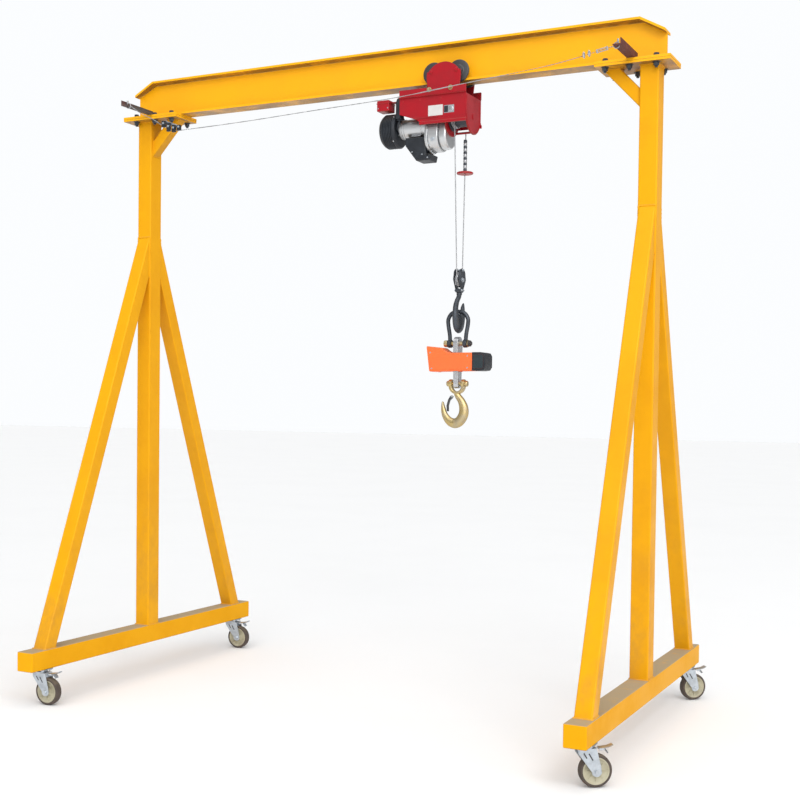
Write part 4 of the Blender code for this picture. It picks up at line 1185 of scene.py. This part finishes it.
# ---------------------------------------------------------------- hoist
class GANTRY_OT_hoist_frame(bpy.types.Operator):
    """Folded red frame, its blank labels, rivets and edge beads"""
    bl_idname = "gantry.hoist_frame"
    bl_label = "Hoist frame"

    def execute(self, context):
        node = "hoist_frame"
        bm = soften(from_cad(node), 0.0011, 2, lambda e: e.calc_length() > 0.01)
        shell(node, bm, red_enamel(), "trolley")
        low, high = low_of(node), high_of(node)
        top = high.z
        drum = joint("drum_spin")["pos_m"]
        parts = []
        for way in WAYS:
            face = way * 0.097
            strip = at((low.x + high.x) / 2 - 0.003, way * 0.105, top - 0.039)
            parts.append(slab((high.x - low.x - 0.006, 0.005, 0.003), strip, 0.0012))
            for x in (low.x + 0.02, 0.3, 0.415, 0.53):
                parts.append(lathe([(0, 0.0022), (0.0022, 0.0018), (0.004, 0), (0, 0)],
                                   towards((x, face, top - 0.056), (0, way, 0)), 16))
        face = high.x - 0.003
        rim = [Vector((face, 0.0885 * math.cos(a), drum[2] + 0.005 + 0.0885 * math.sin(a)))
               for a in (math.radians(180 + 180 * i / 24) for i in range(25))]
        rim = [Vector((face, -0.0885, top - 0.052))] + rim + [Vector((face, 0.0885, top - 0.052))]
        parts.append(swept(rim, (0.0026, 0.0026), 8))
        parts.append(lathe([(0, 0.001), (0.01, 0.001), (0.012, 0.0022), (0.0165, 0.0022),
                            (0.02, 0.0008), (0.0215, 0), (0, 0)],
                           towards((high.x - 0.0052, 0, drum[2]), ALONG), 36))
        for way in WAYS:
            lip = [(0.0968, 0.0), (0.1035, 0.001), (0.1045, 0.003), (0.1045, 0.012),
                   (0.103, 0.015), (0.0968, 0.019)]
            spot = Matrix(((0, 0, 1, (high.x + 0.3) / 2), (way, 0, 0, 0),
                           (0, 1, 0, top - 0.181), (0, 0, 0, 1)))
            parts.append(extruded(lip, high.x - 0.301, spot))
        piece("hoist_trim", merged(parts), red_enamel(), "trolley")
        parts = [slab((0.08, 0.0006, 0.052), at(0.386, -0.0973, top - 0.115),
                      0.0002, 1, 0),
                 slab((0.056, 0.0006, 0.038), at(0.4595, -0.0973, top - 0.114),
                      0.0002, 1, 1),
                 lathe([(0, 0.0022), (0.011, 0.0022), (0.013, 0.001), (0.013, 0), (0, 0)],
                       towards((0.471, -0.0973, top - 0.114), (0, -1, 0)), 28, 2),
                 slab((0.022, 0.0008, 0.032), at(0.444, -0.0974, top - 0.114),
                      0.0002, 1, 3)]
        piece("hoist_labels", merged(parts), [blank_label(), grey_label(), machined_steel(),
                                              black_moulding()], "trolley")
        return {'FINISHED'}


class GANTRY_OT_hoist_motor(bpy.types.Operator):
    """Ribbed motor, its end bells and tie screws, and the slotted fan cover"""
    bl_idname = "gantry.hoist_motor"
    bl_label = "Motor and fan cover"

    def execute(self, context):
        steps = context.scene.gantry_sizes.round_steps
        low, high = low_of("hoist_motor"), high_of("hoist_motor")
        centre = (low + high) / 2
        reach = (high.z - low.z) / 2
        base = towards((low.x, centre.y, centre.z), ALONG)
        span = high.x - low.x
        bell = reach - 0.001
        body = [(0, 0.001), (0.04, 0.001), (0.044, 0.005), (bell - 0.004, 0.006),
                (bell, 0.01), (bell, 0.022), (bell - 0.003, 0.024), (bell - 0.003, 0.026)]
        for start in (0.03, span - 0.036):
            body += [(bell - 0.003, start), (bell - 0.0012, start + 0.0012),
                     (bell - 0.0012, start + 0.0044), (bell - 0.003, start + 0.0056)]
        body += [(bell - 0.003, span - 0.026), (bell, span - 0.024), (reach, span - 0.02),
                 (reach, span - 0.004), (reach - 0.004, span - 0.0008), (0, span - 0.0008)]
        parts = [lathe(body, base, steps)]
        for i in range(4):
            angle = math.radians(45 + 90 * i)
            offset = Vector((0, (bell - 0.006) * math.cos(angle), (bell - 0.006)
                             * math.sin(angle)))
            spot = Vector((low.x + 0.0062, centre.y, centre.z)) + offset
            parts.append(hex_head(0.0085, 0.005, towards(spot, -ALONG)))
        plate = at(low.x + 0.098, centre.y - bell * 0.55, centre.z - bell * 0.83)
        parts.append(slab((0.052, 0.02, 0.0012), plate @ Matrix.Rotation(0.58, 4, 'X'), 0.0004,
                          1, 1))
        shell("hoist_motor", merged(parts), [cast_aluminium(), machined_steel()], "trolley")

        low, high = low_of("fan_cover"), high_of("fan_cover")
        centre = (low + high) / 2
        reach = (high.z - low.z) / 2
        base = towards((low.x, centre.y, centre.z), ALONG)
        span = high.x - low.x
        cover = [(0, 0.001), (0.04, 0.001), (0.058, 0.003), (0.07, 0.008),
                 (0.08, 0.017), (0.085, 0.025)]
        for i in range(6):
            start = 0.029 + 0.0088 * i
            cover += [(reach - 0.0005, start), (reach - 0.0005, start + 0.0052),
                      (reach - 0.004, start + 0.006), (reach - 0.004, start + 0.008)]
        cover += [(reach, 0.083), (reach, 0.09), (reach - 0.007, span - 0.001),
                  (0.05, span - 0.001), (0, span - 0.001)]
        parts = [lathe(cover, base, steps)]
        for ring in range(4):
            count = 12 + 6 * ring
            radius = 0.017 + 0.012 * ring
            for i in range(count):
                turn = Matrix.Rotation(math.tau * i / count, 4, 'Z')
                lift = 0.0006 + (0.0022 if ring == 3 else 0.0)
                spot = base @ turn @ at(radius, 0, lift)
                parts.append(slab((0.008, 0.003, 0.001), spot, 0.0003, 1, slot=1))
        for i in range(4):
            turn = Matrix.Rotation(math.tau * (i + 0.5) / 4, 4, 'Z')
            spot = base @ turn @ at(reach - 0.0002, 0, 0.0865)
            parts.append(lathe([(0, 0.0016), (0.003, 0.0012), (0.004, 0), (0, 0)],
                               spot @ Matrix.Rotation(math.pi / 2, 4, 'Y'), 14, 2))
        shell("fan_cover", merged(parts), [black_moulding(), dark_glass(), bright_zinc()],
              "trolley")
        return {'FINISHED'}


def gearbox_outline(grow):
    """Two round ends about the motor's and the layshaft's axes."""
    low, high = low_of("gearbox"), high_of("gearbox")
    rim, small, large = 0.006, 0.068, 0.076
    lower = low.z + large + rim
    upper = high.z - small - rim
    return (arc((0, upper), small + grow, 0, 180, 24)
            + arc((0, lower), large + grow, 180, 360, 28))


class GANTRY_OT_gearbox(bpy.types.Operator):
    """Cast gearbox: two half shells, their flange, its screws, ribs and oil plug"""
    bl_idname = "gantry.gearbox"
    bl_label = "Gearbox"

    def execute(self, context):
        low, high = low_of("gearbox"), high_of("gearbox")
        flange, seam, lid = 0.3225, 0.3335, 0.386    # where each step of the case starts
        parts = []
        for start, stop, grow, rounding in (
                (low.x, flange, -0.002, 0.003), (flange, seam, 0.006, 0.002),
                (seam, lid, 0.0, 0.004), (lid, high.x, -0.01, 0.01)):
            spot = at((start + stop) / 2, 0, 0) @ FACING_X
            parts.append(extruded(gearbox_outline(grow), stop - start, spot, rounding, 3))
        bolts = gearbox_outline(0.0005)
        for i in range(0, len(bolts), 6):
            y, z = bolts[i]
            parts.append(lathe([(0, 0.004), (0.0018, 0.0035), (0.0036, 0.004), (0.0042, 0.0036),
                                (0.0042, 0), (0, 0)], towards((0.3332, y, z), ALONG), 16, 1))
        for i in range(7):
            angle = math.radians(205 + 22 * i)
            y = 0.04 * math.cos(angle)
            z = low.z + 0.082 + 0.04 * math.sin(angle)
            rib = at(high.x - 0.0012, y, z) @ Matrix.Rotation(angle, 4, 'X')
            parts.append(slab((0.0024, 0.044, 0.003), rib, 0.0008, 1))
        plug = towards((0.36, -0.0735, low.z + 0.06), (0, -1, -0.15))
        parts += [washer(0.01, 0.002, plug, 1), hex_head(0.013, 0.008, plug, 1)]
        shell("gearbox", merged(parts), [cast_aluminium(), bright_zinc()], "trolley")
        return {'FINISHED'}


class GANTRY_OT_hoist_boxes(bpy.types.Operator):
    """Capacitor box, limit switch box, the cable gland and its short lead"""
    bl_idname = "gantry.hoist_boxes"
    bl_label = "Boxes and gland"

    def execute(self, context):
        bm = soften(from_cad("control_box"), 0.003, 3, lambda e: e.calc_length() > 0.03)
        parts = [bm]
        low, high = low_of("control_box"), high_of("control_box")
        for way in WAYS:
            for x, rise in ((0.236, 0.046), (0.292, 0.03), (0.322, 0.012)):
                spot = Vector((x, way * high.y, low.z + rise))
                parts.append(lathe([(0, 0.0014), (0.0028, 0.0012), (0.0038, 0), (0, 0)],
                                   towards(spot, (0, way, 0)), 14, 1))
        parts.append(slab((0.06, 0.1006, 0.0016), at(0.28, 0, low.z + 0.04), 0.0005, 1, 2))
        shell("control_box", merged(parts), [black_moulding(), bright_zinc(), dark_glass()],
              "trolley")

        high = high_of("limit_switch_box")
        bm = soften(from_cad("limit_switch_box"), 0.0012, 2, lambda e: e.calc_length() > 0.02)
        parts = [bm, slab((0.074, 0.074, 0.004), at(0.083, -0.045, high.z - 0.016), 0.0015)]
        for x in (0.056, 0.11):
            parts.append(lathe([(0, 0.0016), (0.0028, 0.0013), (0.0036, 0), (0, 0)],
                               towards((x, -0.08, high.z - 0.04), (0, -1, 0)), 14, 1))
        shell("limit_switch_box", merged(parts), [red_enamel(), bright_zinc()], "trolley",
              "limit_switch")

        end = low_of("hoist_frame").x
        top = high_of("hoist_frame").z
        boot = at(end - 0.016, -0.06, top - 0.088)
        parts = [slab((0.029, 0.046, 0.092), boot, 0.006, 3),
                 lathe([(0, 0.019), (0.007, 0.018), (0.013, 0.013), (0.016, 0.006),
                        (0.0165, 0), (0.015, -0.004), (0, -0.004)],
                       at(end - 0.018, -0.06, top - 0.042), 28),
                 hex_head(0.024, 0.008, towards((end - 0.018, -0.06, top - 0.134), -UP))]
        lead = [Vector(p) for p in (
            (end - 0.018, -0.06, top - 0.138), (end - 0.02, -0.061, top - 0.15),
            (end - 0.026, -0.062, top - 0.162), (end - 0.031, -0.058, top - 0.174),
            (end - 0.033, -0.053, top - 0.184))]
        parts.append(swept(smooth_path(lead, 8), (0.0056, 0.0056), 14))
        fan = middle("fan_cover")
        parts.append(lathe([(0, 0.012), (0.008, 0.012), (0.01, 0.008), (0.01, 0), (0, 0)],
                           towards((end - 0.033, -0.052, fan.z + 0.048), (0, -0.15, 1)), 20))
        piece("gland_and_lead", merged(parts), black_moulding(), "trolley")
        return {'FINISHED'}


# ---------------------------------------------------------------- rope
def strands(path, radius, pitch, slot=0):
    """Six strands laid round a path."""
    count = 6
    strand = radius * 0.36
    lay = radius - strand
    sides = []
    side = (path[1] - path[0]).orthogonal().normalized()
    run_length = 0.0
    for i, place in enumerate(path):
        run = (path[min(i + 1, len(path) - 1)] - path[max(i - 1, 0)]).normalized()
        side = (side - run * side.dot(run)).normalized()
        if i:
            run_length += (place - path[i - 1]).length
        sides.append((side.copy(), run.cross(side), math.tau * run_length / pitch))
    parts = []
    for k in range(count):
        line = []
        for place, (side, across, turn) in zip(path, sides):
            angle = turn + math.tau * k / count
            line.append(place + (side * math.cos(angle) + across * math.sin(angle)) * lay)
        parts.append(swept(line, (strand, strand), 6, slot=slot))
    return parts


def even_path(points, step):
    """The same path with points about a step apart."""
    path = [points[0]]
    for first, second in zip(points, points[1:]):
        count = max(1, round((second - first).length / step))
        path += [first.lerp(second, (i + 1) / count) for i in range(count)]
    return path


class GANTRY_OT_rope(bpy.types.Operator):
    """Laid wire rope: turns on the drum, two falls, and the bend round the sheave"""
    bl_idname = "gantry.rope"
    bl_label = "Rope and drum"

    def execute(self, context):
        sizes = context.scene.gantry_sizes
        radius = sizes.rope / 2
        drum, sheave = joint("drum_spin")["pos_m"], joint("sheave_spin")["pos_m"]
        low, high = low_of("rope_drum"), high_of("rope_drum")
        rim = (high.z - low.z) / 2
        barrel, groove, grooves = 0.0445, 0.0072, 12
        front_fall, back_fall = 0.469, 0.496
        left, right = 0.438 - drum[0], 0.543 - drum[0]
        profile = [(0, low.x - drum[0]), (0.0118, low.x - drum[0]), (0.0118, left - 0.0002),
                   (rim - 0.002, left), (rim, left + 0.0015), (rim, left + 0.0045),
                   (rim - 0.002, left + 0.006), (barrel, left + 0.0075)]
        for i in range(grooves):
            start = left + 0.009 + groove * i
            profile += [(barrel, start), (barrel - 0.0012, start + 0.0036)]
        profile += [(barrel, right - 0.0075), (rim - 0.002, right - 0.006),
                    (rim, right - 0.0045), (rim, right - 0.0015), (rim - 0.002, right),
                    (0.0118, right), (0.0118, high.x - drum[0]), (0, high.x - drum[0])]
        parts = [lathe(profile, towards(drum, ALONG), sizes.round_steps)]
        wound = []
        lay = barrel + radius - 0.0008
        turns, steps = 4.5, 40
        for i in range(int(turns * steps) + 1):
            angle = math.tau * i / steps
            x = front_fall - groove * i / steps + 0.0002
            wound.append(Vector((x, -lay * math.cos(angle), drum[2] + lay * math.sin(angle))))
        parts += strands(wound, radius, sizes.strand_pitch, 1)
        parts += [hex_head(0.012, 0.006, towards((0.438, 0.03 * way, drum[2] + 0.03),
                                                 (-1, 0, 0))) for way in WAYS]
        shell("rope_drum", merged(parts), [forged_steel(), bare_wire()], "drum")

        pitch = 0.0345
        top_front = Vector((front_fall, -lay, drum[2]))
        top_back = Vector((back_fall, 0.035, high_of("rope_fall_back").z))
        bend = [Vector((sheave[0], -pitch * math.cos(a), sheave[2] - pitch * math.sin(a)))
                for a in (math.radians(180 * i / 30) for i in range(31))]
        path = even_path([top_front, bend[0]], 0.006) + bend[1:]
        path += even_path([bend[-1], top_back], 0.006)[1:]
        bm = merged(strands(path, radius, sizes.strand_pitch))
        mesh = bpy.data.meshes.new("hoist_rope")
        bm.to_mesh(mesh)
        bm.free()
        mesh.materials.append(bare_wire())
        mesh.shade_smooth()
        rope = bpy.data.objects.new("hoist_rope", mesh)
        context.collection.objects.link(rope)
        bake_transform(rope)
        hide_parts("rope_fall_front", "rope_fall_back")

        foot = low_of("limit_weight").z
        centre = Vector((middle("limit_weight").x, middle("limit_weight").y, foot))
        disc = [(0.0066, 0.0004), (0.036, 0.0004), (0.04, 0.0016), (0.0418, 0.004),
                (0.0418, 0.0085), (0.04, 0.0106), (0.037, 0.012), (0.012, 0.012),
                (0.011, 0.0165), (0.0066, 0.0165)]
        parts = [lathe(disc, Matrix.Translation(centre), sizes.round_steps, 0)]
        reach = high_of("limit_weight").z - foot - 0.0165
        links = 11
        # Every other link is dark forged steel, the rest bright wire steel: painted light and
        # shade for links that face the light and links seen edge-on.
        for i in range(links):
            z = foot + 0.0165 + reach * (i + 0.5) / links
            tall = reach / links * 0.62
            profile = mirrored([(0.0062, -tall), (0.0076, -tall), (0.009, -tall * 0.5)],
                               [(0.0094, 0)])
            parts.append(lathe(profile, at(centre.x, centre.y, z), 20,
                               1 + i % 2))
        shell("limit_weight", merged(parts), [red_enamel(), forged_steel(), bare_wire()],
              "limit_weight")
        return {'FINISHED'}


# ---------------------------------------------------------------- hook block
def forged_bar(stations, centre, flat, sides, per_span, slot=0):
    """A forged hook: each station gives a place in its plane and its two radii."""
    across = Vector(flat)
    sideways = UP.cross(across)
    spots = [Vector(centre) + sideways * a + UP * h for a, h, *_ in stations]
    path = smooth_path(spots, per_span)
    sizes = [(p.x, p.y) for p in smooth_path([(r, w, 0) for *_, r, w in stations], per_span)]
    return swept(path, sizes, sides, slot=slot, flat=across)


class GANTRY_OT_hook_block(bpy.types.Operator):
    """Cheeks with pressed ribs, the grooved sheave, the crosshead and the upper hook"""
    bl_idname = "gantry.hook_block"
    bl_label = "Hook block"

    def execute(self, context):
        steps = context.scene.gantry_sizes.round_steps
        x, y, z = joint("sheave_spin")["pos_m"]
        cheek = [(a, h + (0.014 if h > 0.02 else 0)) for a, h in arc((0, 0), 0.044, 0, 180, 28)]
        cheek += arc((0, -0.044), 0.0175, 180, 360, 14)
        rib = [(a * 0.8, 0.004 + (h + 0.004) * 0.8) for a, h in cheek]
        parts = []
        for way in WAYS:
            spot = at(x + way * 0.0145, 0, z) @ FACING_X
            parts.append(extruded(cheek, 0.004, spot, 0.0012, 3))
            line = [Vector((x + way * 0.0166, a, z + h)) for a, h in rib]
            parts.append(swept(line, (0.0016, 0.0016), 8, closed=True))
            axle = towards((x + way * 0.0165, 0, z), (way, 0, 0))
            parts.append(washer(0.012, 0.0014, axle, 1))
            parts.append(hex_head(0.0185, 0.0062, axle @ at(0, 0, 0.0012), 1))
            for a, h, size in ((0, 0.05, 0.011), (-0.012, -0.052, 0.008), (0.012, -0.052, 0.008)):
                parts += bolt((x + way * 0.0165, a, z + h), (way, 0, 0), size, 1)
        for a, h, radius in ((0, 0, 0.006), (0, 0.05, 0.005)):
            parts.append(lathe(rod(radius, -0.0165, 0.0165),
                               towards((x, a, z + h), ALONG), 24, 1))
        parts.append(slab((0.031, 0.033, 0.019), at(x, 0, z - 0.053),
                          0.0025, 3))
        shell("hook_block", merged(parts), [forged_steel(), bright_zinc()], "block")

        wheel = mirrored([(0.0065, -0.0095), (0.0125, -0.0095), (0.0135, -0.006),
                          (0.029, -0.006), (0.0315, -0.009), (0.0385, -0.009),
                          (0.04, -0.0078), (0.033, -0.0034), (0.0312, -0.0018)],
                         [(0.0307, 0.0)])
        hub = towards((x, y, z), ALONG)
        parts = [lathe(wheel, hub, steps)]
        for i in range(6):
            turn = Matrix.Rotation(math.tau * i / 6, 4, 'Z')
            for side in WAYS:
                spot = hub @ turn @ at(0.021, 0, side * 0.0066)
                parts.append(slab((0.015, 0.003, 0.0022), spot, 0.0006, 1))
        shell("block_sheave", merged(parts), machined_steel(), "sheave")

        stations = [(0.0, -0.07, 0.012, 0.012), (-0.006, -0.085, 0.012, 0.012),
                    (-0.026, -0.106, 0.013, 0.012), (-0.041, -0.132, 0.015, 0.013),
                    (-0.044, -0.16, 0.018, 0.014), (-0.036, -0.192, 0.026, 0.018),
                    (-0.004, -0.219, 0.049, 0.023), (0.03, -0.195, 0.026, 0.018),
                    (0.043, -0.165, 0.014, 0.013), (0.046, -0.135, 0.01, 0.01),
                    (0.053, -0.116, 0.0046, 0.0046), (0.0545, -0.1115, 0.0016, 0.0016)]
        parts = [forged_bar(stations, (x, 0, z), (1, 0, 0), 24, 8),
                 lathe([(0, -0.075), (0.013, -0.075), (0.014, -0.0735), (0.014, -0.064),
                        (0.013, -0.0627), (0.0084, -0.0627), (0.0084, -0.045),
                        (0.007, -0.0436), (0, -0.0436)], at(x, 0, z), 32)]
        shell("block_hook", merged(parts), forged_steel(), "swivel_hook",
              "upper_hook")
        return {'FINISHED'}


# ---------------------------------------------------------------- shackle
class GANTRY_OT_shackle(bpy.types.Operator):
    """Bow shackle with round ears, and its bolt with boss, nut and split pin"""
    bl_idname = "gantry.shackle"
    bl_label = "Shackle"

    def execute(self, context):
        x, _, z = joint("scale_swing")["pos_m"]
        half = [(-0.043, 0.012), (-0.045, 0.045), (-0.0535, 0.095), (-0.053, 0.125),
                (-0.034, 0.152)]
        bow = half + [(0.0, 0.1605)] + [(-a, h) for a, h in reversed(half)]
        path = smooth_path([(x + a, 0, z + h) for a, h in bow], 10)
        sizes = []
        for i in range(len(path)):
            swell = math.sin(math.pi * i / (len(path) - 1))
            sizes.append((0.0105 - 0.0004 * (1 - swell), 0.01 + 0.0004 * swell))
        parts = [swept(path, sizes, 24, flat=(0, 1, 0))]
        for way in WAYS:
            ear = towards((x + way * 0.043, 0, z), (way, 0, 0))
            parts.append(lathe([(0.0114, -0.0108), (0.019, -0.0108), (0.0205, -0.0098),
                                (0.021, -0.008), (0.021, 0.006), (0.02, 0.0084),
                                (0.0185, 0.0088), (0.0114, 0.0088)], ear, 40))
        shell("shackle", merged(parts), forged_steel(), "shackle")

        pin = towards((x, 0, z), ALONG)
        parts = [lathe([(0, -0.073), (0.015, -0.073), (0.017, -0.0712), (0.0172, -0.057),
                        (0.0165, -0.0552), (0.0108, -0.0552), (0.0108, 0.0552),
                        (0.0175, 0.0552), (0.0182, 0.057), (0.0182, 0.059), (0, 0.059)],
                       pin, 40, 0),
                 hex_head(0.03, 0.012, pin @ at(0, 0, 0.0585), 1),
                 lathe([(0, 0.07), (0.0085, 0.07), (0.0098, 0.0712), (0.0098, 0.0745),
                        (0.0088, 0.0758), (0, 0.0758)], pin, 24, 1)]
        split = [Vector((x + 0.0728, 0.0125 * a, z + 0.0125 * b))
                 for a, b in ((-1.0, -0.25), (-0.7, -0.05), (0.0, 0.0), (0.7, 0.05), (1.0, 0.3))]
        parts.append(swept(smooth_path(split, 4), (0.0011, 0.0011), 8, slot=2))
        shell("shackle_pin", merged(parts), [gold_zinc(), black_steel(), bright_zinc()],
              "shackle", "shackle_bolt")
        return {'FINISHED'}


# ---------------------------------------------------------------- crane scale
class GANTRY_OT_scale(bpy.types.Operator):
    """Orange case with its dark display and rims, and the plate that carries the load"""
    bl_idname = "gantry.scale"
    bl_label = "Crane scale"

    def execute(self, context):
        x, _, top = joint("scale_swing")["pos_m"]
        bottom = joint("load_hook_swing")["pos_m"][2]
        z = low_of("scale_case").z + 0.05    # the middle of the display
        front = at(x, 0, 0) @ FACING_Y
        bm = from_cad("scale_case")
        tall = [e for e in bm.edges if e.calc_length() > 0.015 and e.is_convex
                and min(v.co.z for v in e.verts) > z + 0.04
                and max(v.co.x for v in e.verts) < x - 0.02
                and abs(e.verts[0].co.y - e.verts[1].co.y) < 0.002
                and min(abs(v.co.y) for v in e.verts) > 0.036]
        bmesh.ops.bevel(bm, geom=tall, offset=0.011, segments=1, profile=0.5,
                        affect='EDGES', material=-1, clamp_overlap=True)
        soften(bm, 0.0014, 3, lambda e: e.calc_length() > 0.012)
        parts = [bm]
        for way in WAYS:
            scoop = front @ at(0, 0, -way * 0.0452)
            raised = [(-0.13, z - 0.042), (0.08, z - 0.038), (0.08, z + 0.036),
                      (-0.03, z + 0.034), (-0.066, z + 0.036), (-0.1, z + 0.044),
                      (-0.14, z + 0.056)]
            parts.append(extruded(raised, 0.0018, scoop, 0.0009, 2))
            for a, h in ((-0.124, -0.034), (-0.132, 0.046), (0.072, -0.031), (0.072, 0.028)):
                spot = towards((x + a, way * 0.0458, z + h), (0, way, 0))
                parts.append(lathe([(0, 0.0006), (0.0022, 0.001), (0.0034, 0.0014),
                                    (0.0042, 0.0006), (0.0042, 0), (0, 0)], spot, 20, 1))
        for a, h in ((-0.098, -0.049), (0.02, -0.047)):
            foot = towards((x + a, 0, z + h), -UP)
            parts.append(lathe([(0, 0.003), (0.008, 0.003), (0.0095, 0.0015), (0.0095, 0),
                                (0, 0)], foot, 24))
        shell("scale_case", merged(parts), [orange_enamel(), bare_wire()], "scale")

        cap = [(0.096, z - 0.0462), (0.137, z - 0.0466), (0.16, z - 0.0434)]
        cap += [(0.1694, z - 0.027), (0.1694, z + 0.027), (0.1612, z + 0.0424),
                (0.141, z + 0.0462), (0.096, z + 0.0462)]
        parts = [extruded(cap, 0.093, front, 0.003, 4, 0)]
        for way in WAYS:
            corners = []
            for a, h, start in ((0.148, 0.026, 0), (0.112, 0.026, 90), (0.112, -0.026, 180),
                                (0.148, -0.026, 270)):
                corners += arc((a, z + h), 0.01, start, start + 90, 6)
            glass = front @ at(0, 0, -way * 0.0463)
            parts.append(extruded(corners, 0.0014, glass, 0.0004, 1, 1))
            parts.append(swept([Vector((x + a, way * 0.0468, h)) for a, h in corners],
                               (0.0013, 0.0013), 8, closed=True, slot=2))
        piece("scale_display", merged(parts), [black_moulding(), dark_glass(), rim_red()],
              "scale")

        outline = (arc((0, top), 0.034, 0, 180, 28) + arc((0, bottom), 0.024, 180, 360, 22))
        parts = [extruded(outline, 0.025, at(x, 0, 0) @ FACING_X, 0.0018, 3)]
        for h, bore, rim in ((top, 0.0113, 0.02), (bottom, 0.0093, 0.0165)):
            for way in WAYS:
                ring = towards((x + way * 0.0122, 0, h), (way, 0, 0))
                parts.append(lathe([(bore, 0), (bore, 0.0016), (rim - 0.001, 0.0016),
                                    (rim, 0.0008), (rim, 0)], ring, 36))
        shell("scale_load_plate", merged(parts), machined_steel(), "scale",
              "scale_plate")
        return {'FINISHED'}


# ---------------------------------------------------------------- load hook
class GANTRY_OT_load_hook(bpy.types.Operator):
    """Forged load hook with its yoke and ears, its pin, and the sprung latch"""
    bl_idname = "gantry.load_hook"
    bl_label = "Load hook"

    def execute(self, context):
        x, _, z = joint("load_hook_swing")["pos_m"]
        stations = [(-0.002, -0.046, 0.016, 0.015), (0.006, -0.064, 0.016, 0.015),
                    (0.024, -0.088, 0.019, 0.016), (0.037, -0.123, 0.024, 0.018),
                    (0.035, -0.158, 0.026, 0.019), (0.014, -0.19, 0.026, 0.019),
                    (-0.014, -0.2, 0.025, 0.018), (-0.044, -0.187, 0.021, 0.016),
                    (-0.066, -0.158, 0.016, 0.013), (-0.075, -0.126, 0.012, 0.011),
                    (-0.079, -0.096, 0.0055, 0.0065), (-0.0795, -0.0905, 0.002, 0.0025)]
        front = at(x, 0, 0) @ FACING_Y
        yoke = [(-0.043, z)] + arc((0, z - 0.01), 0.043, 180, 360, 28) + [(0.043, z)]
        yoke += [(0.025, z), (0.025, z - 0.014)]
        yoke += arc((0, z - 0.014), 0.025, 0, -180, 20)[1:] + [(-0.025, z)]
        parts = [forged_bar(stations, (x, 0, z), (0, -1, 0), 28, 8),
                 extruded(yoke, 0.032, front, 0.005, 4)]
        for way in WAYS:
            ear = towards((x + way * 0.034, 0, z), (way, 0, 0))
            parts.append(lathe([(0.0094, -0.0092), (0.02, -0.0092), (0.0215, -0.008),
                                (0.022, -0.006), (0.022, 0.006), (0.021, 0.008),
                                (0.019, 0.009), (0.0094, 0.009)], ear, 40))
            lug = towards((x - 0.028, way * 0.01, z - 0.066), (0, way, 0))
            parts.append(lathe([(0, 0.0028), (0.0026, 0.0026), (0.004, 0.001), (0.004, 0),
                                (0, 0)], lug, 18, 1))
        shell("load_hook", merged(parts), [gold_zinc(), bright_zinc()], "load_hook")

        pin = towards((x, 0, z), ALONG)
        parts = [lathe([(0, -0.056), (0.0118, -0.056), (0.0136, -0.0545), (0.014, -0.052),
                        (0.014, -0.0436), (0.0089, -0.0436), (0.0089, 0.0436),
                        (0.015, 0.0436), (0.0152, 0.05), (0.0146, 0.0545),
                        (0.0128, 0.057), (0, 0.057)], pin, 36),
                 hex_head(0.018, 0.0016, pin @ at(0, 0, 0.0555))]
        shell("load_hook_pin", merged(parts), gold_zinc(), "load_hook")

        strip = [(-0.006, 0.002), (-0.002, 0.0058), (0.003, 0.004), (0.003, -0.004),
                 (-0.012, -0.02), (-0.0192, -0.045), (-0.019, -0.074),
                 (-0.0245, -0.074), (-0.027, -0.045), (-0.019, -0.017)]
        px, _, pz = joint("latch_hinge")["pos_m"]
        latch = at(px, 0, pz) @ FACING_Y
        parts = [extruded(strip, 0.018, latch, 0.0012, 2)]
        for way in WAYS:
            cheek = [(-0.007, 0.003), (0.0, 0.0066), (0.004, 0.003), (0.002, -0.006),
                     (-0.013, -0.019), (-0.019, -0.017)]
            parts.append(extruded(cheek, 0.0016, latch @ at(0, 0, way * 0.0092), 0.0005, 1))
        coil = []
        for i in range(61):
            angle = math.tau * i / 12
            coil.append(Vector((px + 0.0052 * math.cos(angle), -0.007 + 0.014 * i / 60,
                                pz + 0.0052 * math.sin(angle))))
        parts.append(swept(coil, (0.0008, 0.0008), 6, slot=1))
        shell("load_hook_latch", merged(parts), [black_steel(), bright_zinc()], "latch")
        return {'FINISHED'}


# ---------------------------------------------------------------- panel and running
OPERATORS = (GANTRY_OT_stage, GANTRY_OT_tubes, GANTRY_OT_beam, GANTRY_OT_welds,
             GANTRY_OT_plate_bolts, GANTRY_OT_festoon, GANTRY_OT_castors, GANTRY_OT_trolley,
             GANTRY_OT_hoist_frame, GANTRY_OT_hoist_motor, GANTRY_OT_gearbox,
             GANTRY_OT_hoist_boxes, GANTRY_OT_rope, GANTRY_OT_hook_block, GANTRY_OT_shackle,
             GANTRY_OT_scale, GANTRY_OT_load_hook)


class GANTRY_PT_panel(bpy.types.Panel):
    """Sizes, colours and steps of the gantry crane"""
    bl_idname = "GANTRY_PT_panel"
    bl_label = "Gantry Crane"
    bl_space_type = 'VIEW_3D'
    bl_region_type = 'UI'
    bl_category = "Gantry"

    def draw(self, context):
        layout = self.layout
        for group in (context.scene.gantry_sizes, context.scene.gantry_colours):
            column = layout.column(align=True)
            for name in group.__annotations__:
                column.prop(group, name)
        column = layout.column(align=True)
        for operator in OPERATORS:
            column.operator(operator.bl_idname)


CLASSES = (GantryColours, GantrySizes, *OPERATORS, GANTRY_PT_panel)


def register():
    for item in CLASSES:
        bpy.utils.register_class(item)
    bpy.types.Scene.gantry_colours = PointerProperty(type=GantryColours)
    bpy.types.Scene.gantry_sizes = PointerProperty(type=GantrySizes)


def unregister():
    del bpy.types.Scene.gantry_sizes
    del bpy.types.Scene.gantry_colours
    for item in reversed(CLASSES):
        bpy.utils.unregister_class(item)


def main():
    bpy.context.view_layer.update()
    register()
    for operator in OPERATORS:
        family, name = operator.bl_idname.split(".")
        getattr(getattr(bpy.ops, family), name)()


if __name__ == "__main__":
    main()
